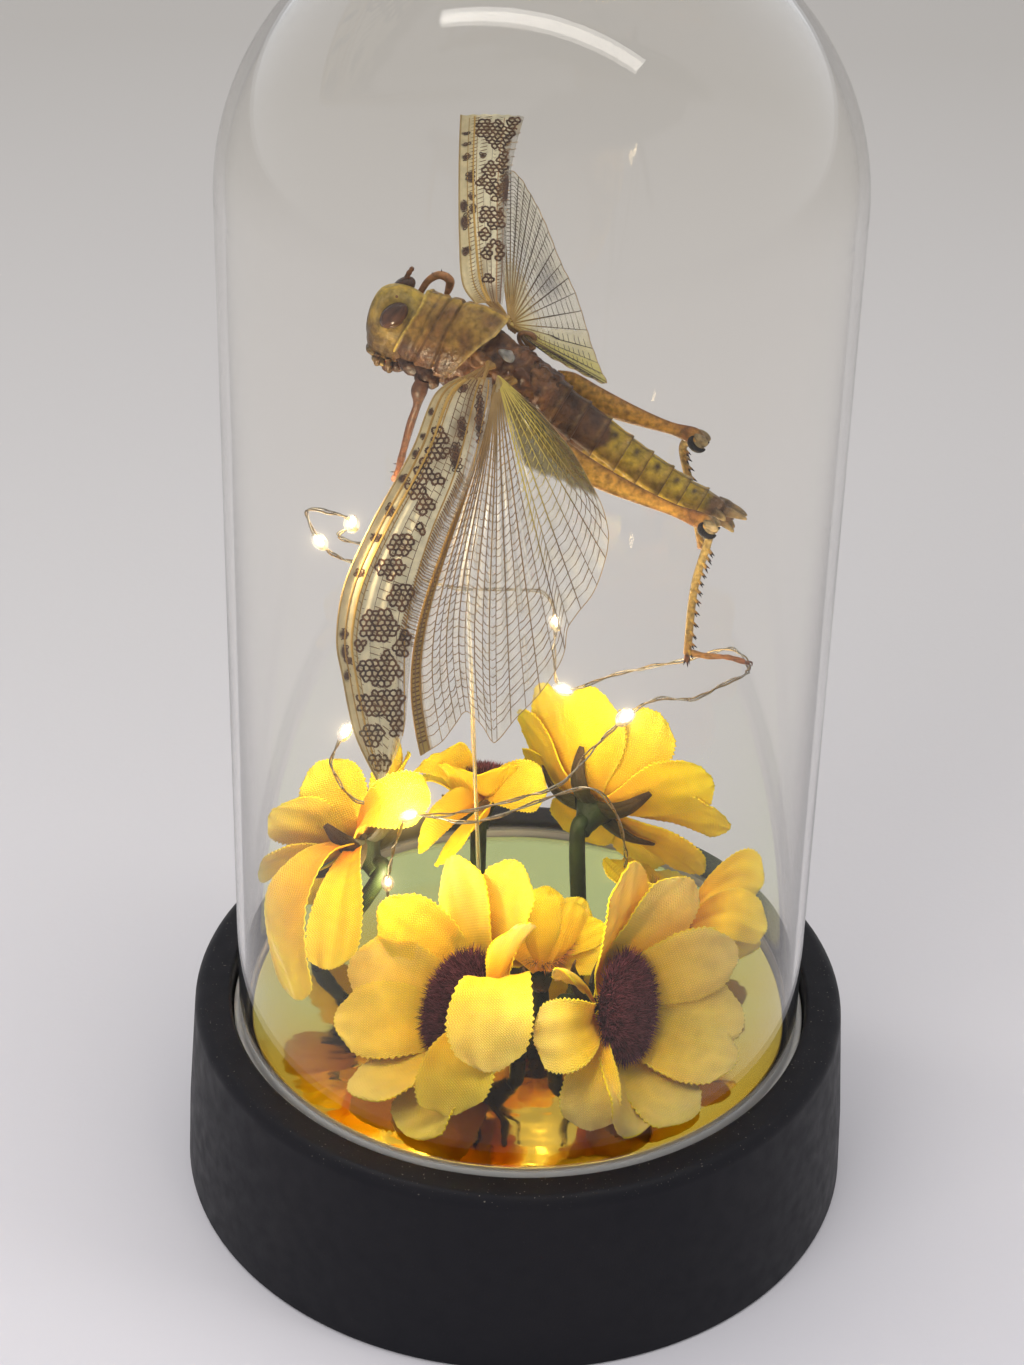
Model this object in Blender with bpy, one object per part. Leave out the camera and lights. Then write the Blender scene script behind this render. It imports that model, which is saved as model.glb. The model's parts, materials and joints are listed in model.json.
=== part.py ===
"""Mounted locust under a clear dome, with fabric flowers and a string of bead lights.

Run it with: blender --background --python part.py
The model is in metres with +Z up. Its origin is the middle of the underside of the base,
and the viewer of the reference view stands on the -Y side. Sizes below are in millimetres.
"""

import math

import bmesh
import bpy
from mathutils import Vector

MM = 0.001
GAP = 0.3                 # clearance left between pieces that touch

# Case
BASE_RADIUS = 57.5        # at the table
RIM_RADIUS = 55.5         # at the top edge
BASE_HEIGHT = 34.7
EDGE_ROUND = 2.2
WELL_RADIUS = 49.3        # hole in the rim that the dome drops into
LEDGE_HEIGHT = 28.7       # floor of the well, which carries the dome
BASE_WALL = 2.6
COVER_THICKNESS = 2.0
DOME_RADIUS = 47.9
DOME_WALL = 1.7
DOME_FLANGE = 1.0
FLANGE_HEIGHT = 2.5
DOME_STRAIGHT_TOP = 181.3
DOME_CAP = 44.4           # height of the domed top above the straight wall
DISC_RADIUS = 45.5
DISC_THICKNESS = 1.0
DISC_TOP = 33.4

# Locust: the origin is inside the thorax, forward runs to the head and up is its back
LOCUST_ORIGIN = Vector((-6.3, 0.0, 153.4))
FORWARD = Vector((-0.870, 0.260, 0.420)).normalized()
BACK_UP = Vector((0.384, -0.177, 0.906))
LEFT = BACK_UP.cross(FORWARD).normalized()
DORSAL = FORWARD.cross(LEFT)
WING_THICKNESS = 0.35
HINDWING_BOW = 4.2        # how far the left fan stands off the abdomen

# Flowers
HUB_RADIUS = 3.2
SHEET_THICKNESS = 0.4
LAYER_STEP = 1.1          # from the outer petal layer to the inner one
BUTTON_HEIGHT = 0.62      # of a flower's fuzzy middle, as a share of its radius
PETAL_REACH = DOME_RADIUS - DOME_WALL - 0.9    # petals bend along the inside of the dome
PETAL_FLOOR = DISC_TOP + 0.9
STEM_RADIUS = 1.4

# Light string
WIRE_RADIUS = 0.45
BEAD_RADIUS = 1.5
ROD_RADIUS = 0.4


# ---------------------------------------------------------------- shared tools

def make_material(name, colour, roughness, metallic=0.0, transmission=0.0):
    material = bpy.data.materials.new(name)
    material.use_nodes = True
    shader = material.node_tree.nodes["Principled BSDF"]
    shader.inputs["Base Color"].default_value = (*colour, 1.0)
    shader.inputs["Roughness"].default_value = roughness
    shader.inputs["Metallic"].default_value = metallic
    shader.inputs["Transmission Weight"].default_value = transmission
    return material


def make_object(name, points, faces, material, smooth_angle=40.0):
    """Make one object from points in millimetres, with its faces turned outward."""
    mesh = bpy.data.meshes.new(name)
    mesh.from_pydata([Vector(point) * MM for point in points], [], faces)
    shell = bmesh.new()
    shell.from_mesh(mesh)
    bmesh.ops.recalc_face_normals(shell, faces=shell.faces)
    shell.to_mesh(mesh)
    shell.free()
    mesh.shade_smooth()
    mesh.set_sharp_from_angle(angle=math.radians(smooth_angle))
    mesh.materials.append(material)
    thing = bpy.data.objects.new(name, mesh)
    bpy.context.scene.collection.objects.link(thing)
    return thing


def bridge(rows, closed_across=True):
    """Faces between neighbouring rows of point numbers; a row of one point is a pole."""
    faces = []
    for near, far in zip(rows, rows[1:]):
        count = max(len(near), len(far))
        last = count if closed_across else count - 1
        for k in range(last):
            ahead = (k + 1) % count
            corners = [
                near[k % len(near)],
                far[k % len(far)],
                far[ahead % len(far)],
                near[ahead % len(near)],
            ]
            faces.append(list(dict.fromkeys(corners)))
    return faces


def number_rows(rows):
    """Flatten rows of points and return the points with the rows of their numbers."""
    points = []
    numbered = []
    for row in rows:
        numbered.append(list(range(len(points), len(points) + len(row))))
        points.extend(row)
    return points, numbered


def turned(name, outline, material, segments=28):
    """Turn (radius, height) pairs about Z; the outline starts and ends on the axis."""
    rows = []
    for radius, height in outline:
        if radius == 0.0:
            rows.append([(0.0, 0.0, height)])
            continue
        row = []
        for k in range(segments):
            angle = 2.0 * math.pi * k / segments
            row.append((radius * math.cos(angle), radius * math.sin(angle), height))
        rows.append(row)
    points, numbered = number_rows(rows)
    return make_object(name, points, bridge(numbered), material)


def lofted(name, sections, material, sides=10):
    """Skin elliptical sections of (centre, across, up) vectors, with pointed ends."""
    rows = []
    for centre, across, up in sections:
        if across.length == 0.0:
            rows.append([centre])
            continue
        row = []
        for k in range(sides):
            angle = 2.0 * math.pi * (k + 0.5) / sides
            row.append(centre + across * math.cos(angle) + up * math.sin(angle))
        rows.append(row)
    points, numbered = number_rows(rows)
    return make_object(name, points, bridge(numbered), material)


def tube(name, path, radii, material, sides=6):
    """Sweep a round section along a path, turning as little as possible, with flat ends."""
    path = [Vector(point) for point in path]
    forward = (path[1] - path[0]).normalized()
    side = forward.orthogonal().normalized()
    rows = []
    for i, point in enumerate(path):
        before = path[max(i - 1, 0)]
        after = path[min(i + 1, len(path) - 1)]
        turned_forward = (after - before).normalized()
        side.rotate(forward.rotation_difference(turned_forward))
        forward = turned_forward
        other = forward.cross(side)
        row = []
        for k in range(sides):
            angle = 2.0 * math.pi * k / sides
            row.append(point + (side * math.cos(angle) + other * math.sin(angle)) * radii[i])
        rows.append(row)
    points, numbered = number_rows(rows)
    faces = bridge(numbered) + [numbered[0], numbered[-1]]
    return make_object(name, points, faces, material)


def ellipsoid(name, centre, axes, material, sides=10, rings=5):
    """Closed ellipsoid with three half-axis vectors, its poles on the third one."""
    rows = []
    for ring in range(rings + 1):
        tilt = math.pi * ring / rings - math.pi / 2.0
        if ring in (0, rings):
            rows.append([centre + axes[2] * math.sin(tilt)])
            continue
        row = []
        for k in range(sides):
            angle = 2.0 * math.pi * k / sides
            around = axes[0] * math.cos(angle) + axes[1] * math.sin(angle)
            row.append(centre + around * math.cos(tilt) + axes[2] * math.sin(tilt))
        rows.append(row)
    points, numbered = number_rows(rows)
    return make_object(name, points, bridge(numbered), material)


def fuse(target, parts):
    """Unite the parts with the target and leave them out of the model."""
    for part in parts:
        part.hide_render = True
        part.display_type = "WIRE"
        union = target.modifiers.new("with_" + part.name, "BOOLEAN")
        union.operation = "UNION"
        union.solver = "EXACT"
        union.object = part
    return target


def smooth_path(points, steps):
    """Read a Catmull-Rom curve through the points, with a number of steps per stretch."""
    points = [Vector(point) for point in points]
    path = []
    for i in range(len(points) - 1):
        a = points[max(i - 1, 0)]
        b = points[i]
        c = points[i + 1]
        d = points[min(i + 2, len(points) - 1)]
        for step in range(steps):
            t = step / steps
            linear = (c - a) * t
            square = (a * 2.0 - b * 5.0 + c * 4.0 - d) * t * t
            cube = (b * 3.0 - a - c * 3.0 + d) * t * t * t
            path.append(b + (linear + square + cube) * 0.5)
    path.append(points[-1])
    return path


def blend_between(low, high, t):
    return low + (high - low) * t


# ---------------------------------------------------------------- case

def make_base(material):
    plateau_radius = DOME_RADIUS - DOME_WALL - GAP
    plateau_height = DISC_TOP - DISC_THICKNESS - GAP
    cover_radius = BASE_RADIUS - BASE_WALL
    cover_top = COVER_THICKNESS + GAP + 0.4
    outline = [
        (0.0, plateau_height),
        (plateau_radius, plateau_height),
        (plateau_radius, LEDGE_HEIGHT),
        (WELL_RADIUS, LEDGE_HEIGHT),
        (WELL_RADIUS, BASE_HEIGHT - 0.5),
        (WELL_RADIUS + 0.5, BASE_HEIGHT),
    ]
    for angle in (math.radians(90.0), math.radians(45.0), 0.0):
        outline.append((
            RIM_RADIUS - EDGE_ROUND + EDGE_ROUND * math.cos(angle),
            BASE_HEIGHT - EDGE_ROUND + EDGE_ROUND * math.sin(angle),
        ))
    outline += [
        (BASE_RADIUS - 0.5, BASE_HEIGHT * 0.35),
        (BASE_RADIUS, 1.0),
        (BASE_RADIUS - 0.6, 0.0),
        (cover_radius, 0.0),
        (cover_radius, cover_top),
        (cover_radius - 1.8, cover_top),
        (RIM_RADIUS - BASE_WALL, LEDGE_HEIGHT - BASE_WALL),
        (plateau_radius - BASE_WALL, LEDGE_HEIGHT - BASE_WALL),
        (plateau_radius - BASE_WALL, plateau_height - BASE_WALL),
        (0.0, plateau_height - BASE_WALL),
    ]
    return turned("base_shell", outline, material)


def make_base_cover(material):
    radius = BASE_RADIUS - BASE_WALL - GAP
    low = 0.4
    high = low + COVER_THICKNESS
    outline = [(0.0, high), (radius, high), (radius, low), (0.0, low)]
    return turned("base_cover", outline, material)


def make_mirror(material):
    low = DISC_TOP - DISC_THICKNESS
    outline = [(0.0, DISC_TOP), (DISC_RADIUS, DISC_TOP), (DISC_RADIUS, low), (0.0, low)]
    return turned("mirror_disc", outline, material)


def dome_wall(radius, cap_height, foot, steps):
    """Half outline of the bell from its top down to the foot, as (radius, height) pairs."""
    wall = []
    for step in range(steps + 1):
        angle = math.radians(90.0 * step / steps)
        wall.append((
            radius * math.sin(angle) if step else 0.0,
            DOME_STRAIGHT_TOP + cap_height * math.cos(angle),
        ))
    wall.append((radius, foot))
    return wall


def make_dome(material):
    foot = LEDGE_HEIGHT + GAP
    outside = dome_wall(DOME_RADIUS, DOME_CAP, foot + FLANGE_HEIGHT, 6)
    flange = [
        (DOME_RADIUS + DOME_FLANGE, foot + FLANGE_HEIGHT - 0.3),
        (DOME_RADIUS + DOME_FLANGE, foot),
    ]
    inside = dome_wall(DOME_RADIUS - DOME_WALL, DOME_CAP - DOME_WALL, foot, 6)
    return turned("glass_dome", outside + flange + inside[::-1], material)


# ---------------------------------------------------------------- locust

def on_locust(forward, left, up):
    """Point at a distance forward, left and up from the middle of the thorax."""
    return LOCUST_ORIGIN + FORWARD * forward + LEFT * left + DORSAL * up


def locust_sections(stations):
    """Sections across the body from (forward, middle height, half width, half height)."""
    sections = []
    for forward, middle, half_width, half_height in stations:
        centre = on_locust(forward, 0.0, middle)
        sections.append((centre, LEFT * half_width, DORSAL * half_height))
    return sections


def make_locust_body(material):
    # from the underside of the thorax back to the tip of the abdomen
    trunk = lofted("locust_body", locust_sections([
        (11.0, -3.0, 0.0, 0.0),
        (10.0, -3.0, 2.9, 3.6),
        (6.0, -2.6, 4.0, 5.4),
        (1.0, -1.4, 4.4, 6.2),
        (-4.0, -1.0, 4.2, 5.6),
        (-8.0, -0.6, 3.7, 4.3),
        (-13.0, -1.0, 3.5, 3.7),
        (-20.0, -1.7, 3.3, 3.4),
        (-27.0, -2.4, 3.0, 3.1),
        (-33.0, -2.5, 2.7, 2.7),
        (-38.5, -2.0, 2.2, 2.1),
        (-42.0, -1.7, 1.3, 1.2),
        (-43.8, -1.6, 0.0, 0.0),
    ]), material, sides=12)
    head = lofted("head", locust_sections([
        (20.9, -1.6, 0.0, 0.0),
        (20.4, -2.0, 2.0, 2.9),
        (19.0, -2.9, 3.1, 5.1),
        (17.2, -3.2, 3.7, 6.3),
        (14.6, -3.0, 3.9, 6.2),
        (12.0, -2.4, 3.5, 5.2),
        (10.5, -2.2, 0.0, 0.0),
    ]), material, sides=12)
    saddle = lofted("saddle", locust_sections([
        (14.4, -1.5, 0.0, 0.0),
        (14.3, -1.5, 4.1, 5.3),
        (11.0, -1.2, 4.5, 6.0),
        (7.0, -0.3, 4.7, 6.6),
        (3.6, 1.6, 4.6, 5.6),
        (1.2, 4.2, 2.6, 3.2),
        (0.6, 4.6, 0.0, 0.0),
    ]), material, sides=12)
    parts = [head, saddle]
    # the head is turned a little, so the right eye lies further forward than the left
    for name, place in (("left", (16.6, 3.2, 0.0)), ("right", (18.3, -3.1, 1.3))):
        axes = (FORWARD * 1.6, LEFT * 1.4, DORSAL * 2.4 - FORWARD * 0.7)
        parts.append(ellipsoid("eye_" + name, on_locust(*place), axes, material))
    stub = [on_locust(17.2, -2.4, 1.6), on_locust(18.6, -2.6, 4.6)]
    parts.append(tube("antenna_stub", stub, [0.6, 0.45], material))
    for name, side in (("left", 1.0), ("right", -1.0)):
        axes = (FORWARD * 2.2, LEFT * 1.4, DORSAL * 2.0)
        parts.append(ellipsoid("hip_" + name, on_locust(-9.5, side * 3.2, -4.0), axes, material,
                               sides=8, rings=4))
    return fuse(trunk, parts)


def membrane(name, rays, thickness, material):
    """Thin closed sheet over a grid of points, given as rays with equal point counts."""
    rows = len(rays)
    columns = len(rays[0])
    normals = []
    for i in range(rows):
        for j in range(columns):
            along = rays[min(i + 1, rows - 1)][j] - rays[max(i - 1, 0)][j]
            across = rays[i][min(j + 1, columns - 1)] - rays[i][max(j - 1, 0)]
            normals.append(along.cross(across).normalized())
    grid = [point for ray in rays for point in ray]
    half = thickness / 2.0
    points = [p + n * half for p, n in zip(grid, normals)]
    points += [p - n * half for p, n in zip(grid, normals)]
    under = rows * columns
    faces = []
    for i in range(rows - 1):
        for j in range(columns - 1):
            a = i * columns + j
            quad = (a, a + 1, a + columns + 1, a + columns)
            faces.append(quad)
            faces.append(tuple(k + under for k in reversed(quad)))
    edge = list(range(columns))
    edge += [i * columns + columns - 1 for i in range(1, rows)]
    edge += [(rows - 1) * columns + j for j in range(columns - 2, -1, -1)]
    edge += [i * columns for i in range(rows - 2, 0, -1)]
    for a, b in zip(edge, edge[1:] + edge[:1]):
        faces.append((a, b, b + under, a + under))
    return make_object(name, points, faces, material, smooth_angle=60.0)


def wing_rays(frame, near_edge, far_edge, bow, columns=3):
    """Rays from one edge of a wing to the other, in the plane that frame(x, y, off) spans."""
    rays = []
    for near, far in zip(near_edge, far_edge):
        ray = []
        for j in range(columns + 1):
            t = j / columns
            x = blend_between(near[0], far[0], t)
            y = blend_between(near[1], far[1], t)
            ray.append(frame(x, y, bow(x, y)))
        rays.append(ray)
    return rays


def left_wing_frame(lift):
    """Plane that faces the viewer, through the left wing roots; y runs down the wing."""
    root = on_locust(3.0, 5.6, 1.0)
    right = Vector((0.999, 0.027, 0.019))
    down = Vector((0.029, -0.451, -0.892))
    toward_viewer = down.cross(right)
    return lambda x, y, off: root + right * x + down * y + toward_viewer * (lift + off)


def right_wing_frame(lift):
    """Plane through the right wing roots; x runs along the body and y away from it."""
    root = on_locust(3.0, -4.5, 4.4)
    right = Vector((1.0, 0.0, 0.0))
    outward = Vector((0.0, 0.918, 0.396))
    above = right.cross(outward)
    return lambda x, y, off: root + right * x + outward * y + above * (lift + off)


def fan_rays(frame, root, margin, bow, rings=3):
    """Rays from a short root edge out to each point of a wing's margin."""
    rays = []
    for k, tip in enumerate(margin):
        start = (
            root[0] + 0.12 * (tip[0] - root[0]) + 0.02 * k,
            root[1] + 0.12 * (tip[1] - root[1]) + 0.02 * k,
        )
        ray = []
        for j in range(rings + 1):
            t = j / rings
            x = blend_between(start[0], tip[0], t)
            y = blend_between(start[1], tip[1], t)
            ray.append(frame(x, y, bow(x, y)))
        rays.append(ray)
    return rays


def make_left_wings(tough, clear):
    fore_front = [(-1.0, 1.6), (-4.8, 4.2), (-7.8, 11.5), (-10.4, 16.5), (-14.5, 24.0),
                  (-18.2, 32.6), (-19.4, 40.5), (-18.5, 46.5), (-16.6, 55.0), (-13.4, 62.0)]
    fore_rear = [(3.6, 1.6), (3.6, 4.8), (2.2, 11.0), (0.2, 17.5), (-2.6, 24.0),
                 (-5.2, 31.0), (-7.6, 38.5), (-8.6, 45.5), (-9.2, 54.5), (-12.2, 61.6)]

    def camber(x, y):
        return 0.5 * math.sin(math.pi * min(y / 62.0, 1.0))

    frame = left_wing_frame(2.3)
    membrane("forewing_left", wing_rays(frame, fore_front, fore_rear, camber), WING_THICKNESS, tough)

    def fan_bow(x, y):
        across = min(max((x + 4.0) / 14.0, 0.0), 1.0)
        return HINDWING_BOW * across * across * (3.0 - 2.0 * across) - 1.2 * min(y / 40.0, 1.0)

    margin = [(-4.2, 30.0), (-6.2, 36.5), (-8.2, 44.0), (-8.8, 51.5), (-7.4, 59.0),
              (-4.2, 56.9), (-0.6, 52.6), (4.2, 56.8), (9.8, 50.1), (14.0, 43.4),
              (14.8, 38.6), (18.5, 33.8), (21.0, 27.5), (20.6, 22.0), (17.7, 16.8),
              (14.0, 11.2), (9.6, 6.0)]
    rays = fan_rays(left_wing_frame(0.0), (4.4, 1.2), margin, fan_bow)
    membrane("hindwing_left", rays, WING_THICKNESS, clear)


def make_right_wings(tough, clear):
    front = [(-3.6, 1.0), (-5.6, 5.0), (-6.4, 13.6), (-7.1, 24.0), (-7.4, 33.0), (-7.5, 40.6)]
    rear = [(0.4, 1.0), (0.6, 5.0), (0.8, 13.6), (0.8, 24.0), (1.6, 33.0), (2.7, 40.6)]

    def flat(x, y):
        return 0.25 * math.sin(math.pi * min(max(y, 0.0) / 41.0, 1.0))

    frame = right_wing_frame(1.6)
    membrane("forewing_right", wing_rays(frame, front, rear, flat), WING_THICKNESS, tough)
    margin = [(-4.5, 22.0), (-3.0, 30.0), (1.3, 30.2), (4.1, 25.4), (6.6, 19.3),
              (9.1, 11.8), (11.5, 5.2), (13.6, -2.7), (15.5, -9.0), (16.4, -12.4),
              (11.8, -10.0), (7.2, -7.2)]
    rays = fan_rays(right_wing_frame(0.4), (0.6, -1.6), margin, lambda x, y: 0.0)
    membrane("hindwing_right", rays, WING_THICKNESS, clear)


def leg_path(points, left):
    return [on_locust(forward, left + out, up) for forward, out, up in points]


def point_along(path, share):
    """Point at a share of the way along the path, counting each stretch alike."""
    place = share * (len(path) - 1)
    stretch = min(int(place), len(path) - 2)
    return path[stretch].lerp(path[stretch + 1], place - stretch)


def make_hind_leg(side_name, side, thigh, shin, foot, spine_side, material):
    """Hind leg with a thick thigh, a spiny shin and a clawed foot, lying beside the body."""
    left = side * 6.0
    thigh_radii = [0.9, 1.9, 2.1, 1.8, 1.3, 1.0, 1.5, 0.8]
    leg = tube("hind_leg_" + side_name, leg_path(thigh, left), thigh_radii, material, sides=8)
    shin_path = leg_path(shin, left)
    shin_radii = [0.9] + [0.6] * (len(shin) - 1)
    parts = [tube("shin_" + side_name, shin_path, shin_radii, material)]
    if foot:
        foot_radii = [0.5, 0.6, 0.55, 0.25]
        parts.append(tube("foot_" + side_name, leg_path(foot, left), foot_radii, material))
    down_shin = (shin_path[-1] - shin_path[1]).normalized()
    spines = 7
    for k in range(spines):
        root = point_along(shin_path[1:], (k + 1.0) / (spines + 0.3))
        tip = root + spine_side * 1.7 + down_shin * 0.9
        parts.append(tube("spine_%s_%d" % (side_name, k), [root, tip], [0.3, 0.06], material, 3))
    return fuse(leg, parts)


def make_legs(material):
    left_thigh = [(-11.5, -0.4, -3.4), (-15.0, 0.0, -3.2), (-19.0, 0.3, -3.4), (-24.0, 0.2, -3.2),
                  (-29.5, 0.0, -2.5), (-34.5, -0.2, -1.7), (-39.0, -0.3, -0.9), (-40.8, -0.3, -0.9)]
    left_shin = [(-40.4, -0.3, -1.2), (-41.2, -0.3, -3.4), (-43.4, -0.3, -12.5),
                 (-47.9, -0.3, -23.6)]
    left_foot = [(-47.9, -0.3, -23.4), (-50.6, -0.3, -22.2), (-53.4, -0.3, -20.3),
                 (-56.0, -0.3, -19.4)]
    make_hind_leg("left", 1.0, left_thigh, left_shin, left_foot, -FORWARD, material)
    right_thigh = [(-8.5, 0.2, 0.0), (-11.0, 0.0, 0.0), (-15.0, 0.0, 0.0), (-19.5, 0.0, 0.6),
                   (-24.0, 0.0, 1.6), (-28.0, 0.0, 2.7), (-31.4, 0.0, 3.6), (-32.8, 0.0, 3.5)]
    right_shin = [(-31.2, -0.4, 2.6), (-31.0, -0.6, 0.0), (-35.4, -0.6, -5.6),
                  (-41.3, -0.6, -13.6)]
    make_hind_leg("right", -1.0, right_thigh, right_shin, [], -FORWARD, material)
    fore_left = [(7.9, 4.2, -6.6), (7.6, 4.4, -9.2), (6.6, 4.4, -14.5), (5.5, 4.4, -20.4),
                 (5.2, 4.4, -22.4), (5.0, 4.2, -25.0)]
    tube("fore_leg_left", leg_path(fore_left, 0.0), [1.2, 0.9, 0.8, 0.65, 0.55, 0.3], material)
    fore_right = [(15.3, -4.6, 1.0), (15.0, -4.8, 3.4), (13.6, -4.9, 5.1), (12.3, -4.9, 5.0),
                  (11.9, -4.9, 2.8)]
    tube("fore_leg_right", leg_path(fore_right, 0.0), [0.5, 0.6, 0.65, 0.6, 0.4], material)


def make_rod(material):
    foot = Vector((-6.5, 8.0, DISC_TOP + GAP))
    top = on_locust(2.6, 0.0, -8.3)
    path = [foot, foot.lerp(top, 0.5), top]
    tube("support_rod", path, [ROD_RADIUS] * 3, material)


# ---------------------------------------------------------------- flowers

# Each flower: centre of its petals, the way it faces, the side whose petals stand up most,
# petals per layer, mean rise and lean of the petals in degrees, droop at the tips and how
# much more of it the raised side has, petal length, radius of the fuzzy button, and the
# point of the mirror that its stem stands on.
FLOWERS = [
    dict(centre=(-5.5, -19.8, 44.3), facing=(-0.78, -0.30, 0.55), raised=(-0.59, 0.62, -0.52),
         petals=5, rise=37.0, lean=12.0, droop=-14.0, curl=-0.5, length=23.8, button=8.6,
         foot=(0.3, -17.4), turn=23.0),
    dict(centre=(13.2, -18.8, 45.6), facing=(0.85, -0.42, 0.32), raised=(0.53, 0.67, -0.52),
         petals=5, rise=43.0, lean=18.0, droop=-12.0, curl=-1.0, length=24.0, button=8.6,
         foot=(6.6, -15.4), turn=3.0),
    dict(centre=(12.6, 17.6, 60.6), facing=(0.46, 0.76, 0.42), raised=(0.2, 0.6, 1.0),
         petals=5, rise=30.0, lean=14.0, droop=-16.0, curl=-0.6, length=20.5, button=7.4,
         foot=(10.6, 10.5), turn=5.0),
    dict(centre=(-28.0, 9.0, 57.0), facing=(-0.56, 0.68, 0.46), raised=(0.3, 0.3, 1.0),
         petals=5, rise=34.0, lean=18.0, droop=-12.0, curl=-0.8, length=17.6, button=7.4,
         foot=(-35.0, 5.0), turn=20.0),
    dict(centre=(-7.8, 21.0, 59.5), facing=(0.0, 0.50, 0.87), raised=(-1.0, -0.6, 0.0),
         petals=5, rise=26.0, lean=12.0, droop=-24.0, curl=0.8, length=9.2, button=4.6,
         foot=(-7.8, 18.0), turn=20.0),
    dict(centre=(3.8, -6.0, 45.5), facing=(0.02, -0.30, 0.95), raised=(0.0, -1.0, 0.0),
         petals=5, rise=42.0, lean=6.0, droop=-8.0, curl=0.8, length=9.6, button=4.2,
         foot=(4.0, -5.4), turn=0.0),
    dict(centre=(26.0, 7.5, 42.0), facing=(0.36, 0.04, 0.93), raised=(-0.3, -1.0, 0.0),
         petals=5, rise=26.0, lean=22.0, droop=-8.0, curl=0.8, length=13.6, button=6.2,
         foot=(25.0, 6.6), turn=10.0),
]


def limited(value, start, limit):
    """The value itself up to start, then easing towards the limit."""
    if value <= start:
        return value
    room = limit - start
    return start + room * math.tanh((value - start) / room)


class FlowerFrame:
    """Places petals on one smooth cupped surface about the way a flower faces."""

    def __init__(self, flower):
        self.centre = Vector(flower["centre"])
        self.facing = Vector(flower["facing"]).normalized()
        raised = Vector(flower["raised"])
        self.toward = (raised - self.facing * raised.dot(self.facing)).normalized()
        self.sideways = self.facing.cross(self.toward)
        self.rise = math.radians(flower["rise"])
        self.lean = math.radians(flower["lean"])
        self.droop = math.radians(flower["droop"])
        self.curl = flower["curl"]
        self.length = flower["length"]

    def slope(self, angle, along):
        """Angle of a petal above the flower's own plane, at a distance along the petal."""
        part = along / self.length
        base = self.rise + self.lean * math.cos(angle)
        bend = self.droop * (1.0 + self.curl * math.cos(angle)) * max(part - 0.3, 0.0) / 0.7
        return base * min(part / 0.3, 1.0) + bend

    def around(self, angle):
        return self.toward * math.cos(angle) + self.sideways * math.sin(angle)

    def point(self, angle, along, offset):
        radius = HUB_RADIUS
        height = 0.0
        steps = 8
        for step in range(steps):
            slope = self.slope(angle, along * (step + 0.5) / steps)
            radius += math.cos(slope) * along / steps
            height += math.sin(slope) * along / steps
        slope = self.slope(angle, along)
        radius -= math.sin(slope) * offset
        height += math.cos(slope) * offset
        return self.kept_inside(
            self.centre + self.around(angle) * radius + self.facing * height, offset)

    def kept_inside(self, point, offset):
        """Bend what would pass through the dome or the mirror along their surfaces."""
        reach = math.hypot(point.x, point.y)
        limit = PETAL_REACH - 0.9 * max(offset, 0.0)
        kept = limited(reach, limit - 4.0, limit)
        floor = PETAL_FLOOR + 0.9 * max(offset, 0.0)
        height = -limited(-point.z, -floor - 3.0, -floor)
        return Vector((point.x * kept / reach, point.y * kept / reach, height))


def petal_layer(name, frame, count, turn, offset, material):
    """One die-cut layer of petals that meet in a hub."""
    share = math.pi / count
    hub = frame.centre + frame.facing * offset
    points = [hub]
    faces = []
    widths = ((0.0, 1.0), (0.40, 0.86), (0.76, 0.92), (1.0, 0.34))
    for petal in range(count):
        middle = turn + 2.0 * share * petal
        rows = []
        for part, spread in widths:
            along = frame.length * part
            reach = HUB_RADIUS + along * 0.8
            half = min(share * spread, 5.8 / reach * spread + share * (1.0 - part) * 0.4)
            row = []
            for side in (-1.0, 0.0, 1.0):
                if part == 0.0:
                    angle = middle + side * share
                    lift = offset
                else:
                    angle = middle + side * half
                    lift = offset - 0.35 * (1.0 - abs(side))
                reach_along = along * (1.0 + (0.06 if side == 0.0 and part == 1.0 else 0.0))
                row.append(frame.point(angle, reach_along, lift))
            rows.append(row)
        first = rows.pop(0)
        if petal == 0:
            numbers = [len(points), len(points) + 1, len(points) + 2]
            points.extend(first)
            opening = numbers[0]
        elif petal == count - 1:
            numbers = [last, len(points), opening]
            points.append(first[1])
        else:
            numbers = [last, len(points), len(points) + 1]
            points.extend(first[1:])
        last = numbers[2]
        numbered = [numbers]
        for row in rows:
            numbered.append(list(range(len(points), len(points) + 3)))
            points.extend(row)
        faces.append((0, numbers[0], numbers[1]))
        faces.append((0, numbers[1], numbers[2]))
        faces.extend(bridge(numbered, closed_across=False))
    layer = make_object(name, points, faces, material, smooth_angle=60.0)
    solidify = layer.modifiers.new("thickness", "SOLIDIFY")
    solidify.thickness = SHEET_THICKNESS * MM
    solidify.offset = 0.0
    return layer


def make_centre(name, frame, radius, material):
    """Round fuzzy button on top of the inner petal layer."""
    low = LAYER_STEP + SHEET_THICKNESS / 2.0 + GAP
    outline = ((0.28, 0.0), (0.62, 0.38), (1.0, 0.78), (0.80, 0.94), (0.0, 1.0))
    rows = [[frame.centre + frame.facing * low]]
    sides = 8
    for part, height in outline:
        up = low + BUTTON_HEIGHT * radius * height
        if part == 0.0:
            rows.append([frame.centre + frame.facing * up])
            continue
        row = []
        for k in range(sides):
            around = frame.around(2.0 * math.pi * k / sides)
            row.append(frame.centre + around * radius * part + frame.facing * up)
        rows.append(row)
    points, numbered = number_rows(rows)
    return make_object(name, points, bridge(numbered), material)


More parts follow.
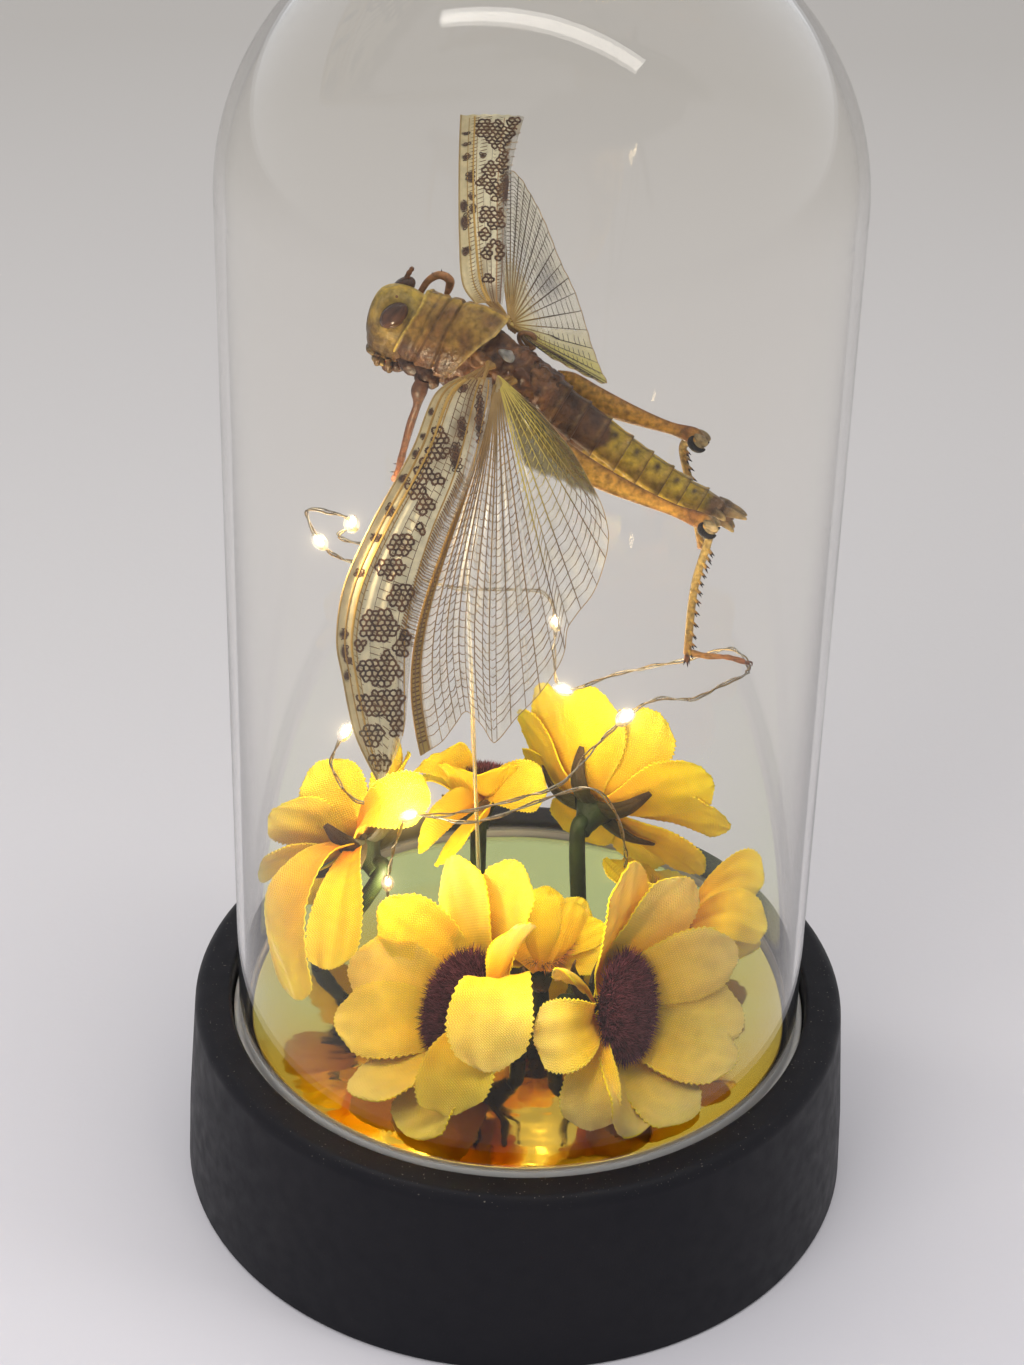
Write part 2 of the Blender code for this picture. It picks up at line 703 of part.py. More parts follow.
def make_calyx(name, frame, foot, material):
    """Star of five sepals under the petals, with its stem down to the mirror."""
    under = SHEET_THICKNESS / 2.0 + GAP + 0.2
    spikes = 5
    neck_length = 5.0
    hub = []
    top = []
    bottom = []
    neck = []
    for k in range(2 * spikes):
        angle = math.pi * k / spikes
        hub.append(frame.point(angle, 0.0, -under - 0.1))
        if k % 2 == 0:
            top.append(frame.point(angle, 5.5, -under - 0.4))
            bottom.append(frame.point(angle, 5.0, -under - 1.2))
        else:
            top.append(frame.point(angle, 0.5, -under - 0.2))
            bottom.append(frame.point(angle, 0.1, -under - 1.6))
        neck.append(frame.centre + frame.around(angle) * 1.7 - frame.facing * neck_length)
    rows = [[frame.centre - frame.facing * (under + 0.1)], hub, top, bottom, neck,
            [frame.centre - frame.facing * (neck_length + 0.4)]]
    points, numbered = number_rows(rows)
    calyx = make_object(name, points, bridge(numbered), material)
    start = frame.centre - frame.facing * (neck_length - 1.0)
    bend = frame.centre - frame.facing * (neck_length + 2.0)
    end = Vector((foot[0], foot[1], DISC_TOP + GAP))
    upright = end + Vector((0.0, 0.0, 1.0))
    path = smooth_path([start, bend, upright], 2) + [end]
    stem = tube("stem_of_" + name, path, [STEM_RADIUS] * len(path), material)
    return fuse(calyx, [stem])


def make_flowers(fabric, fuzz, green):
    for number, flower in enumerate(FLOWERS, start=1):
        frame = FlowerFrame(flower)
        name = "flower_%d_" % number
        turn = math.radians(flower["turn"])
        share = math.pi / flower["petals"]
        petal_layer(name + "petals_outer", frame, flower["petals"], turn, 0.0, fabric)
        petal_layer(name + "petals_inner", frame, flower["petals"], turn + share, LAYER_STEP, fabric)
        make_centre(name + "centre", frame, flower["button"], fuzz)
        make_calyx(name + "calyx", frame, flower["foot"], green)


# ---------------------------------------------------------------- light string

MAIN_ROUTE = [
    (-22.6, 4.0, 34.2), (-22.7, 2.0, 48.0), (-22.6, 0.5, 55.0), (-21.6, -3.0, 63.5),
    (-20.2, -6.5, 70.5), (-18.6, -8.5, 75.4), (-12.0, -10.0, 77.0), (-2.0, -10.0, 80.2),
    (5.8, -8.0, 82.3), (10.4, -8.0, 88.7), (15.7, -9.0, 96.3), (20.2, -11.0, 101.1),
    (25.5, -14.0, 103.3), (29.8, -16.5, 107.6), (33.6, -18.0, 111.4), (31.6, -11.0, 110.9),
    (25.6, -5.0, 105.0), (15.0, 2.0, 97.5), (5.9, 6.0, 91.5), (4.2, 7.0, 98.0),
    (4.2, 6.0, 104.3), (1.6, 4.0, 111.1), (-11.1, 1.0, 113.1), (-20.0, -8.0, 121.0),
    (-28.0, -17.0, 128.5), (-31.2, -20.5, 133.5), (-32.8, -22.0, 139.5), (-28.6, -20.0, 138.0),
    (-26.8, -16.5, 134.4), (-29.0, -15.5, 131.6), (-26.0, -11.5, 128.0),
]
MAIN_BEADS = (2, 5, 10, 18, 20, 25, 28)
SIDE_ROUTE = [
    (17.5, 3.0, 58.0), (17.0, -2.5, 66.0), (15.0, -4.5, 74.6), (10.7, -6.5, 80.6),
    (3.4, -7.5, 78.9), (-7.1, -8.6, 74.9), (-15.0, -5.0, 73.0), (-22.0, 0.0, 72.0),
    (-28.0, 1.0, 71.5), (-31.6, 0.0, 78.1), (-31.5, -0.5, 81.7), (-29.5, -0.5, 86.1),
]
SIDE_BEADS = (11,)
STEPS_PER_STRETCH = 2
BEAD_OUTLINE = ((-2.0, WIRE_RADIUS), (-1.1, BEAD_RADIUS), (1.1, BEAD_RADIUS), (2.0, WIRE_RADIUS))


def make_light_string(name, route, beads, material):
    """Thin wire along a hand-laid route, swelling into a bead light at some of its points."""
    path = smooth_path(route, STEPS_PER_STRETCH)
    points = []
    radii = []
    bead_steps = {bead * STEPS_PER_STRETCH for bead in beads}
    for i, point in enumerate(path):
        if i not in bead_steps:
            points.append(point)
            radii.append(WIRE_RADIUS)
            continue
        along = (path[min(i + 1, len(path) - 1)] - path[max(i - 1, 0)]).normalized()
        for shift, radius in BEAD_OUTLINE:
            points.append(point + along * shift)
            radii.append(radius)
    return tube(name, points, radii, material, sides=4)


# ---------------------------------------------------------------- the whole part

def build():
    for thing in list(bpy.data.objects):
        bpy.data.objects.remove(thing)
    black = make_material("base_black", (0.022, 0.022, 0.023), 0.55)
    cover_black = make_material("cover_black", (0.03, 0.03, 0.032), 0.6)
    mirror = make_material("mirror_tint", (0.75, 0.85, 0.55), 0.06, metallic=1.0)
    glass = make_material("clear_dome", (1.0, 1.0, 1.0), 0.02, transmission=1.0)
    olive = make_material("locust_olive", (0.36, 0.25, 0.08), 0.5)
    tough_wing = make_material("forewing_cream", (0.62, 0.50, 0.26), 0.5)
    clear_wing = make_material("hindwing_clear", (0.75, 0.68, 0.48), 0.4, transmission=0.5)
    leg_brown = make_material("leg_brown", (0.50, 0.27, 0.08), 0.5)
    rod_clear = make_material("rod_clear", (0.85, 0.78, 0.55), 0.2, transmission=0.6)
    fabric = make_material("petal_yellow", (0.90, 0.58, 0.03), 0.75)
    fuzz = make_material("centre_brown", (0.09, 0.035, 0.05), 0.95)
    green = make_material("calyx_green", (0.05, 0.09, 0.03), 0.45)
    wire = make_material("light_wire", (0.62, 0.52, 0.38), 0.3, metallic=1.0)

    make_base(black)
    make_base_cover(cover_black)
    make_mirror(mirror)
    make_dome(glass)
    make_locust_body(olive)
    make_left_wings(tough_wing, clear_wing)
    make_right_wings(tough_wing, clear_wing)
    make_legs(leg_brown)
    make_rod(rod_clear)
    make_flowers(fabric, fuzz, green)
    make_light_string("light_string_main", MAIN_ROUTE, MAIN_BEADS, wire)
    make_light_string("light_string_side", SIDE_ROUTE, SIDE_BEADS, wire)


build()
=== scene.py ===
import json
import math
import random

import bpy
import numpy as np
from mathutils import Matrix, Vector, noise

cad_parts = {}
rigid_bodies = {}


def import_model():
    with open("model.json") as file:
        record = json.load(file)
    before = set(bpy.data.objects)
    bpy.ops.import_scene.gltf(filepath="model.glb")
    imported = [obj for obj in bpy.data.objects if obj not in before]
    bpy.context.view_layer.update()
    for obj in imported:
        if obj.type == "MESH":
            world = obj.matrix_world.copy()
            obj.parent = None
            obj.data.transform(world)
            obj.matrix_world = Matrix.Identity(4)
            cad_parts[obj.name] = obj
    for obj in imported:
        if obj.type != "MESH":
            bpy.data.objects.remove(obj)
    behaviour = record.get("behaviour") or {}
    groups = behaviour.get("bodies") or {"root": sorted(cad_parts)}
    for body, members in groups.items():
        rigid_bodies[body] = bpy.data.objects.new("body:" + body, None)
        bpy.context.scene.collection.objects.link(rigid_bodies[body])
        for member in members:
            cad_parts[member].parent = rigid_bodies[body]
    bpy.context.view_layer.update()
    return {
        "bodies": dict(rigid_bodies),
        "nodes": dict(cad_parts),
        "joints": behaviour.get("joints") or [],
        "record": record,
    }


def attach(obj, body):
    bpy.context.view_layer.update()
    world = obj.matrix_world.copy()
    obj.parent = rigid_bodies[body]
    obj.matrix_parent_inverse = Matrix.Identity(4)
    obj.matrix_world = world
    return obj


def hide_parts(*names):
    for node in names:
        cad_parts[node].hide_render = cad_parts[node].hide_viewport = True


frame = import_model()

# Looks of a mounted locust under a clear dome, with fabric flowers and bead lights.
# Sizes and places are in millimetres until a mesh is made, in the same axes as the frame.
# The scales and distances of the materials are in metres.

MM = 0.001
WHITE = (1.0, 1.0, 1.0)
BLACK = (0.0, 0.0, 0.0)

# Case, as in the frame
BASE_RADIUS = 57.5
RIM_RADIUS = 55.5
BASE_HEIGHT = 34.7
EDGE_ROUND = 2.2
WELL_RADIUS = 49.3
LEDGE_HEIGHT = 28.7
BASE_WALL = 2.6
DOME_RADIUS = 47.9
DOME_WALL = 1.7
DOME_FLANGE = 1.0
FLANGE_HEIGHT = 2.5
DOME_STRAIGHT_TOP = 181.3
DOME_CAP = 44.4
DISC_RADIUS = 45.5
DISC_THICKNESS = 1.0
DISC_TOP = 33.4
COVER_THICKNESS = 2.0
GAP = 0.3

# Locust, as in the frame: forward runs to the head and up is its back
LOCUST_ORIGIN = Vector((-6.3, 0.0, 153.4))
FORWARD = Vector((-0.870, 0.260, 0.420)).normalized()
BACK_UP = Vector((0.384, -0.177, 0.906))
LEFT = BACK_UP.cross(FORWARD).normalized()
DORSAL = FORWARD.cross(LEFT)

# Flowers
HUB_RADIUS = 3.2
LAYER_STEP = 1.1
PETAL_REACH = DOME_RADIUS - DOME_WALL - 0.9
PETAL_FLOOR = DISC_TOP + 0.9
STEM_RADIUS = 1.4


# ---------------------------------------------------------------- small helpers

def mix(a, b, t):
    """Go from colour a to colour b by a share that is kept between 0 and 1."""
    t = min(max(t, 0.0), 1.0)
    return tuple(p + (q - p) * t for p, q in zip(a, b))


def scaled(colour, factor):
    return tuple(factor * value for value in colour)


def near(value, centre, width):
    """Smooth hump: 1 at the centre and almost nothing two widths away."""
    return math.exp(-((value - centre) / width) ** 2)


def turns(count):
    """Angles of even steps round a circle."""
    return [2.0 * math.pi * k / count for k in range(count)]


def spread(start, end, steps):
    return [start + (end - start) * step / steps for step in range(steps + 1)]


def taper(radius, path, start, change):
    """Radii along a path, from a share of the radius and with an even change."""
    return [radius * (start + change * i / len(path)) for i in range(len(path))]


def direction(path, i, reach=1):
    """Way that a path runs at one of its points."""
    last = len(path) - 1
    return (path[min(i + reach, last)] - path[max(i - reach, 0)]).normalized()


def smooth_path(points, steps):
    """Read a Catmull-Rom curve through the points, with a number of steps per stretch."""
    points = [Vector(point) for point in points]
    path = []
    for i in range(len(points) - 1):
        a = points[max(i - 1, 0)]
        b = points[i]
        c = points[i + 1]
        d = points[min(i + 2, len(points) - 1)]
        for step in range(steps):
            t = step / steps
            linear = (c - a) * t
            square = (a * 2.0 - b * 5.0 + c * 4.0 - d) * t * t
            cube = (b * 3.0 - a - c * 3.0 + d) * t * t * t
            path.append(b + (linear + square + cube) * 0.5)
    path.append(points[-1])
    return path


def smooth_places(places, steps=10):
    """Smooth list of flat (u, v) places through given ones."""
    path = smooth_path([(u, v, 0.0) for u, v in places], steps)
    return [(spot.x, spot.y) for spot in path]


def arc(centre, radius, start, end, steps):
    """Points of an arc in (radius, height), angles in degrees."""
    return [(centre[0] + radius * math.cos(math.radians(angle)),
             centre[1] + radius * math.sin(math.radians(angle)))
            for angle in spread(start, end, steps)]


def added(name, data, place=(0.0, 0.0, 0.0)):
    """New object in the scene, at a place in metres."""
    thing = bpy.data.objects.new(name, data)
    thing.location = place
    bpy.context.scene.collection.objects.link(thing)
    return thing


# ---------------------------------------------------------------- materials

class Finish:
    """A Principled material whose nodes are added one call at a time."""

    def __init__(self, name, **values):
        """The values go on the shader's own sockets, with _ for each space."""
        self.material = bpy.data.materials.new(name)
        self.material.use_nodes = True
        self.nodes = self.material.node_tree.nodes
        self.links = self.material.node_tree.links
        self.shader = self.nodes["Principled BSDF"]
        for socket, value in values.items():
            self.shader.inputs[socket.replace("_", " ")].default_value = value

    def add(self, kind, inputs, output=0, **settings):
        node = self.nodes.new("ShaderNode" + kind)
        for setting, value in settings.items():
            setattr(node, setting, value)
        for socket, value in inputs.items():
            if isinstance(value, bpy.types.NodeSocket):
                self.links.new(value, node.inputs[socket])
            else:
                node.inputs[socket].default_value = value
        return node.outputs[output]

    def feed(self, socket, source):
        self.links.new(source, self.shader.inputs[socket])

    def place(self):
        """Position in the frame, in metres."""
        return self.add("TexCoord", {}, "Object")

    def part(self, vector, axis):
        return self.add("SeparateXYZ", {0: vector}, axis)

    def noise(self, scale, detail, vector=None):
        inputs = {"Scale": scale, "Detail": detail, "Vector": vector or self.place()}
        return self.add("TexNoise", inputs)

    def ramp(self, value, *stops):
        """Colour or grey by value, through (position, colour or grey) stops."""
        node = self.nodes.new("ShaderNodeValToRGB")
        self.links.new(value, node.inputs[0])
        elements = node.color_ramp.elements
        while len(elements) < len(stops):
            elements.new(0.5)
        for element, (position, colour) in zip(elements, stops):
            element.position = position
            shade = colour if isinstance(colour, tuple) else (colour,) * 3
            element.color = (*shade, 1.0)
        return node.outputs[0]

    def cloud(self, scale, detail, low, high, start=0.3, end=0.7):
        """Noise that runs from one grey to another."""
        return self.ramp(self.noise(scale, detail), (start, low), (end, high))

    def math(self, operation, a, b=0.0):
        return self.add("Math", {0: a, 1: b}, operation=operation)

    def scaled_sum(self, a, b, scale):
        """(a + b) * scale."""
        return self.math("MULTIPLY", self.math("ADD", a, b), scale)

    def blend(self, factor, a, b, mode="MIX"):
        """Mix two colours; each is a socket or a colour."""
        inputs = {0: factor, 6: a, 7: b}
        for key in (6, 7):
            if isinstance(inputs[key], tuple):
                inputs[key] = (*inputs[key], 1.0)
        return self.add("Mix", inputs, 2, data_type="RGBA", blend_type=mode)

    def tint(self, output="Color"):
        """Point colour of the mesh, or its Alpha."""
        return self.add("Attribute", {}, output, attribute_name="tint")

    def bump(self, height, distance, strength, normal=None):
        inputs = {"Height": height, "Distance": distance, "Strength": strength}
        if normal:
            inputs["Normal"] = normal
        return self.add("Bump", inputs)

    def colour_by_points(self, shade):
        """Base colour from the mesh's point colours, times a shade."""
        self.feed("Base Color", self.blend(1.0, self.tint(), shade, "MULTIPLY"))

    def uneven_gloss(self, scale, detail, low, high):
        self.feed("Roughness", self.cloud(scale, detail, low, high))

    def grain(self, scale, detail, distance, strength):
        self.feed("Normal", self.bump(self.noise(scale, detail), distance, strength))


def black_plastic():
    """Matt moulded black, with fine grain and a little pale dust on what faces up."""
    f = Finish("base_black", Specular_IOR_Level=0.16)
    dust = f.cloud(2600.0, 1.0, 0.0, 1.0, 0.72, 0.80)
    haze = f.cloud(45.0, 4.0, 0.0, 0.5, 0.35, 0.8)
    up = f.part(f.add("NewGeometry", {}, "Normal"), 2)
    settled = f.math("MULTIPLY", f.ramp(up, (0.25, 0.03), (0.95, 1.0)), dust)
    base = f.blend(haze, (0.0065, 0.0065, 0.0095), (0.011, 0.010, 0.012))
    f.feed("Base Color", f.blend(settled, base, (0.20, 0.18, 0.15)))
    f.uneven_gloss(300.0, 3.0, 0.42, 0.55)
    f.grain(3500.0, 2.0, 0.00003, 0.5)
    return f.material


def mirror_film():
    """Yellow-green mirrored film with long shallow ripples, its colour graded front to back as a
    painted reflection.
    """
    f = Finish("mirror_tint", Metallic=1.0)
    # Painted reflection: over the film's yellow-green tint, the colour runs from orange-yellow at
    # the front to pale green at the back.
    across = f.math("ADD", f.math("MULTIPLY", f.part(f.place(), 1), 12.0), f.noise(30.0, 2.0))
    f.feed("Base Color", f.ramp(across, (0.16, (0.66, 0.44, 0.045)), (0.42, (0.64, 0.54, 0.12)),
                                (0.74, (0.58, 0.66, 0.28))))
    stretched_place = f.add("Mapping", {"Vector": f.place(), "Scale": (1.0, 2.4, 1.0)})
    f.feed("Normal", f.bump(f.noise(60.0, 2.0, stretched_place), 0.0006, 0.35))
    f.uneven_gloss(500.0, 2.0, 0.04, 0.12)
    return f.material


def clear_plastic():
    """Clear moulded plastic with very slow waves in its surface, and a half-milky foot that is a
    painted highlight ring along the rim.
    """
    f = Finish("clear_dome", Base_Color=(0.975, 0.965, 0.94, 1.0), Roughness=0.0, IOR=1.47,
               Specular_Tint=(0.35, 0.34, 0.32, 1.0))
    # Painted highlight: at and below about 34 mm the plastic turns half milky white, standing in
    # for the bright lines along the rim.
    painted_rim_highlight = f.scaled_sum(f.part(f.place(), 2), -0.0340, 1400.0)
    f.feed("Transmission Weight", f.ramp(painted_rim_highlight, (0.0, 0.50), (1.0, 1.0)))
    f.grain(14.0, 1.0, 0.0004, 0.25)
    return f.material


def floor_paint():
    """Pale floor that grows warmer and darker with distance: painted shade of the falling-off
    light.
    """
    f = Finish("floor_pale", Roughness=0.6)
    depth = f.scaled_sum(f.part(f.place(), 1), 0.06, 1.6)
    # Painted shade: the floor darkens and warms towards the back.
    painted_falloff = f.ramp(depth, (0.0, (0.68, 0.66, 0.70)), (0.35, (0.57, 0.55, 0.545)),
                 (0.95, (0.42, 0.395, 0.355)))
    cloud = f.blend(f.noise(3.0, 2.0), (0.50, 0.49, 0.52), (0.64, 0.63, 0.66))
    f.feed("Base Color", f.blend(0.2, painted_falloff, cloud))
    f.grain(900.0, 2.0, 0.00005, 0.3)
    return f.material


def wing_film(name, roughness):
    """Wing membrane: colour and opacity come from the mesh, with fine cloudy variation."""
    f = Finish(name, Roughness=roughness)
    f.colour_by_points(f.cloud(700.0, 3.0, 0.86, 1.08))
    f.feed("Alpha", f.tint("Alpha"))
    f.grain(2400.0, 2.0, 0.00004, 0.4)
    return f.material


def petal_fabric():
    """Stiffened woven cloth that lets some light through, dyed orange to yellow."""
    f = Finish("petal_yellow", Specular_IOR_Level=0.12, Subsurface_Weight=0.6,
               Subsurface_Radius=(1.0, 0.60, 0.08), Subsurface_Scale=0.0020)
    weave = f.add("UVMap", {}, uv_map="weave")
    thread_rate = 2.0 * math.pi / THREAD_PITCH
    u, v = (f.math("SINE", f.math("MULTIPLY", f.part(weave, axis), thread_rate))
            for axis in (0, 1))
    threads = f.math("ADD", f.math("MULTIPLY", u, v), f.scaled_sum(u, v, 0.25))
    uneven = f.noise(240.0, 3.0)
    shade = f.math("ADD", f.math("MULTIPLY", threads, 0.32), uneven)
    f.colour_by_points(f.ramp(shade, (0.15, 0.70), (0.85, 1.08)))
    f.feed("Roughness", f.ramp(uneven, (0.3, 0.62), (0.7, 0.85)))
    cloth = f.bump(threads, 0.00009, 0.8)
    f.feed("Normal", f.bump(f.noise(160.0, 2.0), 0.0003, 0.35, cloth))
    return f.material


def fuzz_fibre():
    f = Finish("centre_brown", Specular_IOR_Level=0.15)
    f.colour_by_points(f.cloud(420.0, 2.0, 0.7, 1.3))
    f.uneven_gloss(800.0, 1.0, 0.8, 0.95)
    return f.material


def calyx_plastic():
    f = Finish("calyx_green", Specular_IOR_Level=0.22)
    f.colour_by_points(f.cloud(350.0, 4.0, 0.65, 1.5, end=0.75))
    f.uneven_gloss(600.0, 2.0, 0.40, 0.65)
    f.grain(900.0, 4.0, 0.0002, 0.6)
    return f.material


def body_chitin(name, roughness, grain, depth):
    """Horny shell: pitted, a little waxy, its colour carried by the points."""
    f = Finish(name, Coat_Weight=0.08, Coat_Roughness=0.18, Specular_IOR_Level=0.25,
               Subsurface_Weight=0.12, Subsurface_Radius=(1.0, 0.45, 0.15),
               Subsurface_Scale=0.0012)
    f.colour_by_points(f.cloud(grain, 4.0, 0.55, 1.28, 0.32, 0.62))
    f.uneven_gloss(grain * 0.5, 2.0, roughness - 0.12, roughness + 0.14)
    f.grain(grain * 1.7, 3.0, depth, 0.6)
    return f.material


def eye_gloss():
    f = Finish("eye_brown", Coat_Weight=0.06, Coat_Roughness=0.06, Specular_IOR_Level=0.30)
    f.colour_by_points(f.cloud(900.0, 2.0, 0.7, 1.2))
    f.uneven_gloss(700.0, 2.0, 0.08, 0.2)
    return f.material


def wire_metal():
    f = Finish("light_wire", Metallic=1.0)
    f.colour_by_points(f.cloud(500.0, 2.0, 0.40, 0.70))
    f.uneven_gloss(900.0, 2.0, 0.22, 0.42)
    return f.material


def clear_solid(name, roughness, tone):
    """Clear resin or rod, a little cloudy."""
    f = Finish(name, Transmission_Weight=0.9, IOR=1.5)
    f.feed("Base Color", f.blend(f.noise(300.0, 2.0), tone, scaled(tone, 0.9)))
    f.uneven_gloss(400.0, 2.0, roughness, roughness + 0.1)
    return f.material


def lamp_glow():
    f = Finish("lamp_glow", Emission_Strength=110.0)
    warm = f.ramp(f.noise(300.0, 1.0), (0.3, (1.0, 0.80, 0.46)), (0.7, (1.0, 0.90, 0.66)))
    f.feed("Base Color", warm)
    f.feed("Emission Color", warm)
    return f.material


# ---------------------------------------------------------------- meshes

class Shape:
    """Gathers points in millimetres, faces and point colours, and becomes one piece."""

    def __init__(self):
        self.points = []
        self.faces = []
        self.tints = []
        self.weaves = []

    def add(self, points, faces, tint=WHITE, weave=None):
        """tint is one colour or one for each point; weave is (across, along) for each."""
        first = len(self.points)
        self.points.extend(points)
        self.faces.extend(tuple(k + first for k in face) for face in faces)
        self.tints.extend([tint] * len(points) if isinstance(tint, tuple) else tint)
        self.weaves.extend(weave or [(0.0, 0.0)] * len(points))

    def rows(self, rows, tint=WHITE, closed=True, ends=False, weave=None):
        """Bridge rows of points; tint may be a function of (row, place in the row)."""
        points = []
        numbered = []
        tints = []
        for i, row in enumerate(rows):
            numbered.append(range(len(points), len(points) + len(row)))
            points.extend(row)
            if callable(tint):
                tints.extend(tint(i, k) for k in range(len(row)))
        faces = []
        for low, high in zip(numbered, numbered[1:]):
            count = max(len(low), len(high))
            for k in range(count if closed else count - 1):
                ahead = (k + 1) % count
                corners = [low[k % len(low)], high[k % len(high)],
                           high[ahead % len(high)], low[ahead % len(low)]]
                faces.append(tuple(dict.fromkeys(corners)))
        if ends:
            faces.append(tuple(numbered[0]))
            faces.append(tuple(numbered[-1]))
        self.add(points, faces, tints or tint, weave)

    def tube(self, path, radii, sides=6, tint=WHITE, flat=1.0, side=None):
        """Sweep a section along the path; flat squeezes it across the side vector."""
        path = [Vector(point) for point in path]
        forward = (path[1] - path[0]).normalized()
        side = side or forward.orthogonal()
        side = (side - forward * side.dot(forward)).normalized()
        rows = []
        for i, point in enumerate(path):
            ahead = direction(path, i)
            side = side.copy()
            side.rotate(forward.rotation_difference(ahead))
            forward = ahead
            other = forward.cross(side)
            radius = radii[i] if hasattr(radii, "__len__") else radii
            rows.append([point + side * (math.cos(angle) * radius * flat)
                         + other * (math.sin(angle) * radius) for angle in turns(sides)])
        self.rows(rows, tint, ends=True)

    def spike(self, root, tip, radius, tint, tip_tint):
        """Slim three-sided cone from root to tip."""
        sides = 3
        forward = (tip - root).normalized()
        side = forward.orthogonal().normalized()
        other = forward.cross(side)
        row = [root + side * math.cos(angle) * radius + other * math.sin(angle) * radius
               for angle in turns(sides)]
        faces = [(k, (k + 1) % sides, sides) for k in range(sides)]
        faces.append(tuple(range(sides))[::-1])
        self.add(row + [tip], faces, [tint] * sides + [tip_tint])

    def ball(self, centre, axes, sides, rings, tint=WHITE, rough=0.0):
        """Ellipsoid with three half-axis vectors, optionally uneven."""
        rows = []
        for ring in range(rings + 1):
            tilt = math.pi * ring / rings - math.pi / 2.0
            row = []
            for angle in turns(sides)[:1 if ring in (0, rings) else sides]:
                out = (axes[0] * (math.cos(angle) * math.cos(tilt))
                       + axes[1] * (math.sin(angle) * math.cos(tilt)) + axes[2] * math.sin(tilt))
                swell = 1.0 + rough * noise.noise((centre + out) * 0.9)
                row.append(centre + out * swell)
            rows.append(row)
        self.rows(rows, tint)

    def turned(self, outline, segments):
        """Turn (radius, height) pairs about Z; the outline starts and ends on the axis."""
        rows = []
        for radius, height in outline:
            angles = turns(segments)[:segments if radius else 1]
            rows.append([Vector((radius * math.cos(angle), radius * math.sin(angle), height))
                         for angle in angles])
        self.rows(rows)

    def sheet(self, point, columns, rows, thickness, tint):
        """Thin closed sheet over point(u, v, off), with tint(u, v) for its colour."""
        for side in (0.5, -0.5):
            grid = []
            for i in range(rows + 1):
                row = [point(k / columns, i / rows, side * thickness) for k in range(columns + 1)]
                grid.append(row if side > 0 else row[::-1])

            def colour(i, k, side=side):
                u = k / columns if side > 0 else 1.0 - k / columns
                return tint(u, i / rows)
            self.rows(grid, colour, closed=False)
        edge = [(k / columns, i / rows) for i, k in border(rows, columns)]
        rim = [[point(u, v, side * thickness) for u, v in edge] for side in (-0.5, 0.5)]
        self.rows(rim, lambda i, k: tint(*edge[k]), closed=False)

    def piece(self, name, material, slot, *nodes, smooth_angle=50.0):
        """Make the object, let it ride on the frame and stand for the named nodes."""
        mesh = bpy.data.meshes.new(name)
        mesh.from_pydata([Vector(point) * MM for point in self.points], [], self.faces)
        layer = mesh.color_attributes.new("tint", "FLOAT_COLOR", "POINT")
        colours = [tint if len(tint) > 3 else (*tint, 1.0) for tint in self.tints]
        layer.data.foreach_set("color", np.array(colours, np.float32).ravel())
        if any(weave != (0.0, 0.0) for weave in self.weaves):
            layer = mesh.uv_layers.new(name="weave")
            corners = np.empty(len(mesh.loops), np.int32)
            mesh.loops.foreach_get("vertex_index", corners)
            places = np.array(self.weaves, np.float32)[corners]
            layer.data.foreach_set("uv", places.ravel())
        thing = added(name, mesh)
        mesh.shade_smooth()
        mesh.set_sharp_from_angle(angle=math.radians(smooth_angle))
        mesh.materials.append(material)
        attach(thing, "root")
        if nodes:
            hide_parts(*nodes)
        return thing


def border(rows, columns):
    """Places (row, column) round the edge of a grid, from its first corner back to it."""
    edge = [(0, k) for k in range(columns)]
    edge += [(i, columns) for i in range(rows)]
    edge += [(rows, columns - k) for k in range(columns)]
    return edge + [(rows - i, 0) for i in range(rows + 1)]


# ---------------------------------------------------------------- case

CASE_SEGMENTS = 160
DOME_SEGMENTS = 192


def make_case():
    plastic = black_plastic()
    plateau_radius = DOME_RADIUS - DOME_WALL - GAP
    plateau_height = DISC_TOP - DISC_THICKNESS - GAP
    cover_radius = BASE_RADIUS - BASE_WALL
    cover_top = COVER_THICKNESS + GAP + 0.4
    outline = [(0.0, plateau_height)]
    outline += arc((plateau_radius - 0.4, plateau_height - 0.4), 0.4, 90, 0, 4)
    outline += [(plateau_radius, LEDGE_HEIGHT), (WELL_RADIUS, LEDGE_HEIGHT)]
    outline += arc((WELL_RADIUS + 0.7, BASE_HEIGHT - 0.7), 0.7, 180, 90, 5)
    outline += arc((RIM_RADIUS - EDGE_ROUND, BASE_HEIGHT - EDGE_ROUND), EDGE_ROUND, 90, 2, 10)
    outline += [(BASE_RADIUS - 0.5, BASE_HEIGHT * 0.35)]
    outline += arc((BASE_RADIUS - 0.6, 0.6), 0.6, 10, -90, 6)
    outline += [
        (cover_radius, 0.0), (cover_radius, cover_top), (cover_radius - 1.8, cover_top),
        (RIM_RADIUS - BASE_WALL, LEDGE_HEIGHT - BASE_WALL),
        (plateau_radius - BASE_WALL, LEDGE_HEIGHT - BASE_WALL),
        (plateau_radius - BASE_WALL, plateau_height - BASE_WALL),
        (0.0, plateau_height - BASE_WALL),
    ]
    shell = Shape()
    shell.turned(outline, CASE_SEGMENTS)
    shell.piece("base_moulding", plastic, "base_black", "base_shell", smooth_angle=35.0)

    radius = cover_radius - GAP
    low = 0.4
    high = low + COVER_THICKNESS
    outline = [(0.0, high), (radius, high)] + arc((radius - 0.5, low + 0.5), 0.5, 0, -90, 5)
    cover = Shape()
    cover.turned(outline + [(0.0, low)], CASE_SEGMENTS)
    cover.piece("base_plate", plastic, "cover_black", "base_cover", smooth_angle=35.0)

    low = DISC_TOP - DISC_THICKNESS
    outline = [(0.0, DISC_TOP)] + arc((DISC_RADIUS - 0.3, DISC_TOP - 0.3), 0.3, 90, 0, 4)
    film = Shape()
    film.turned(outline + [(DISC_RADIUS, low), (0.0, low)], CASE_SEGMENTS)
    film.piece("mirror_film", mirror_film(), "mirror_tint", "mirror_disc", smooth_angle=30.0)


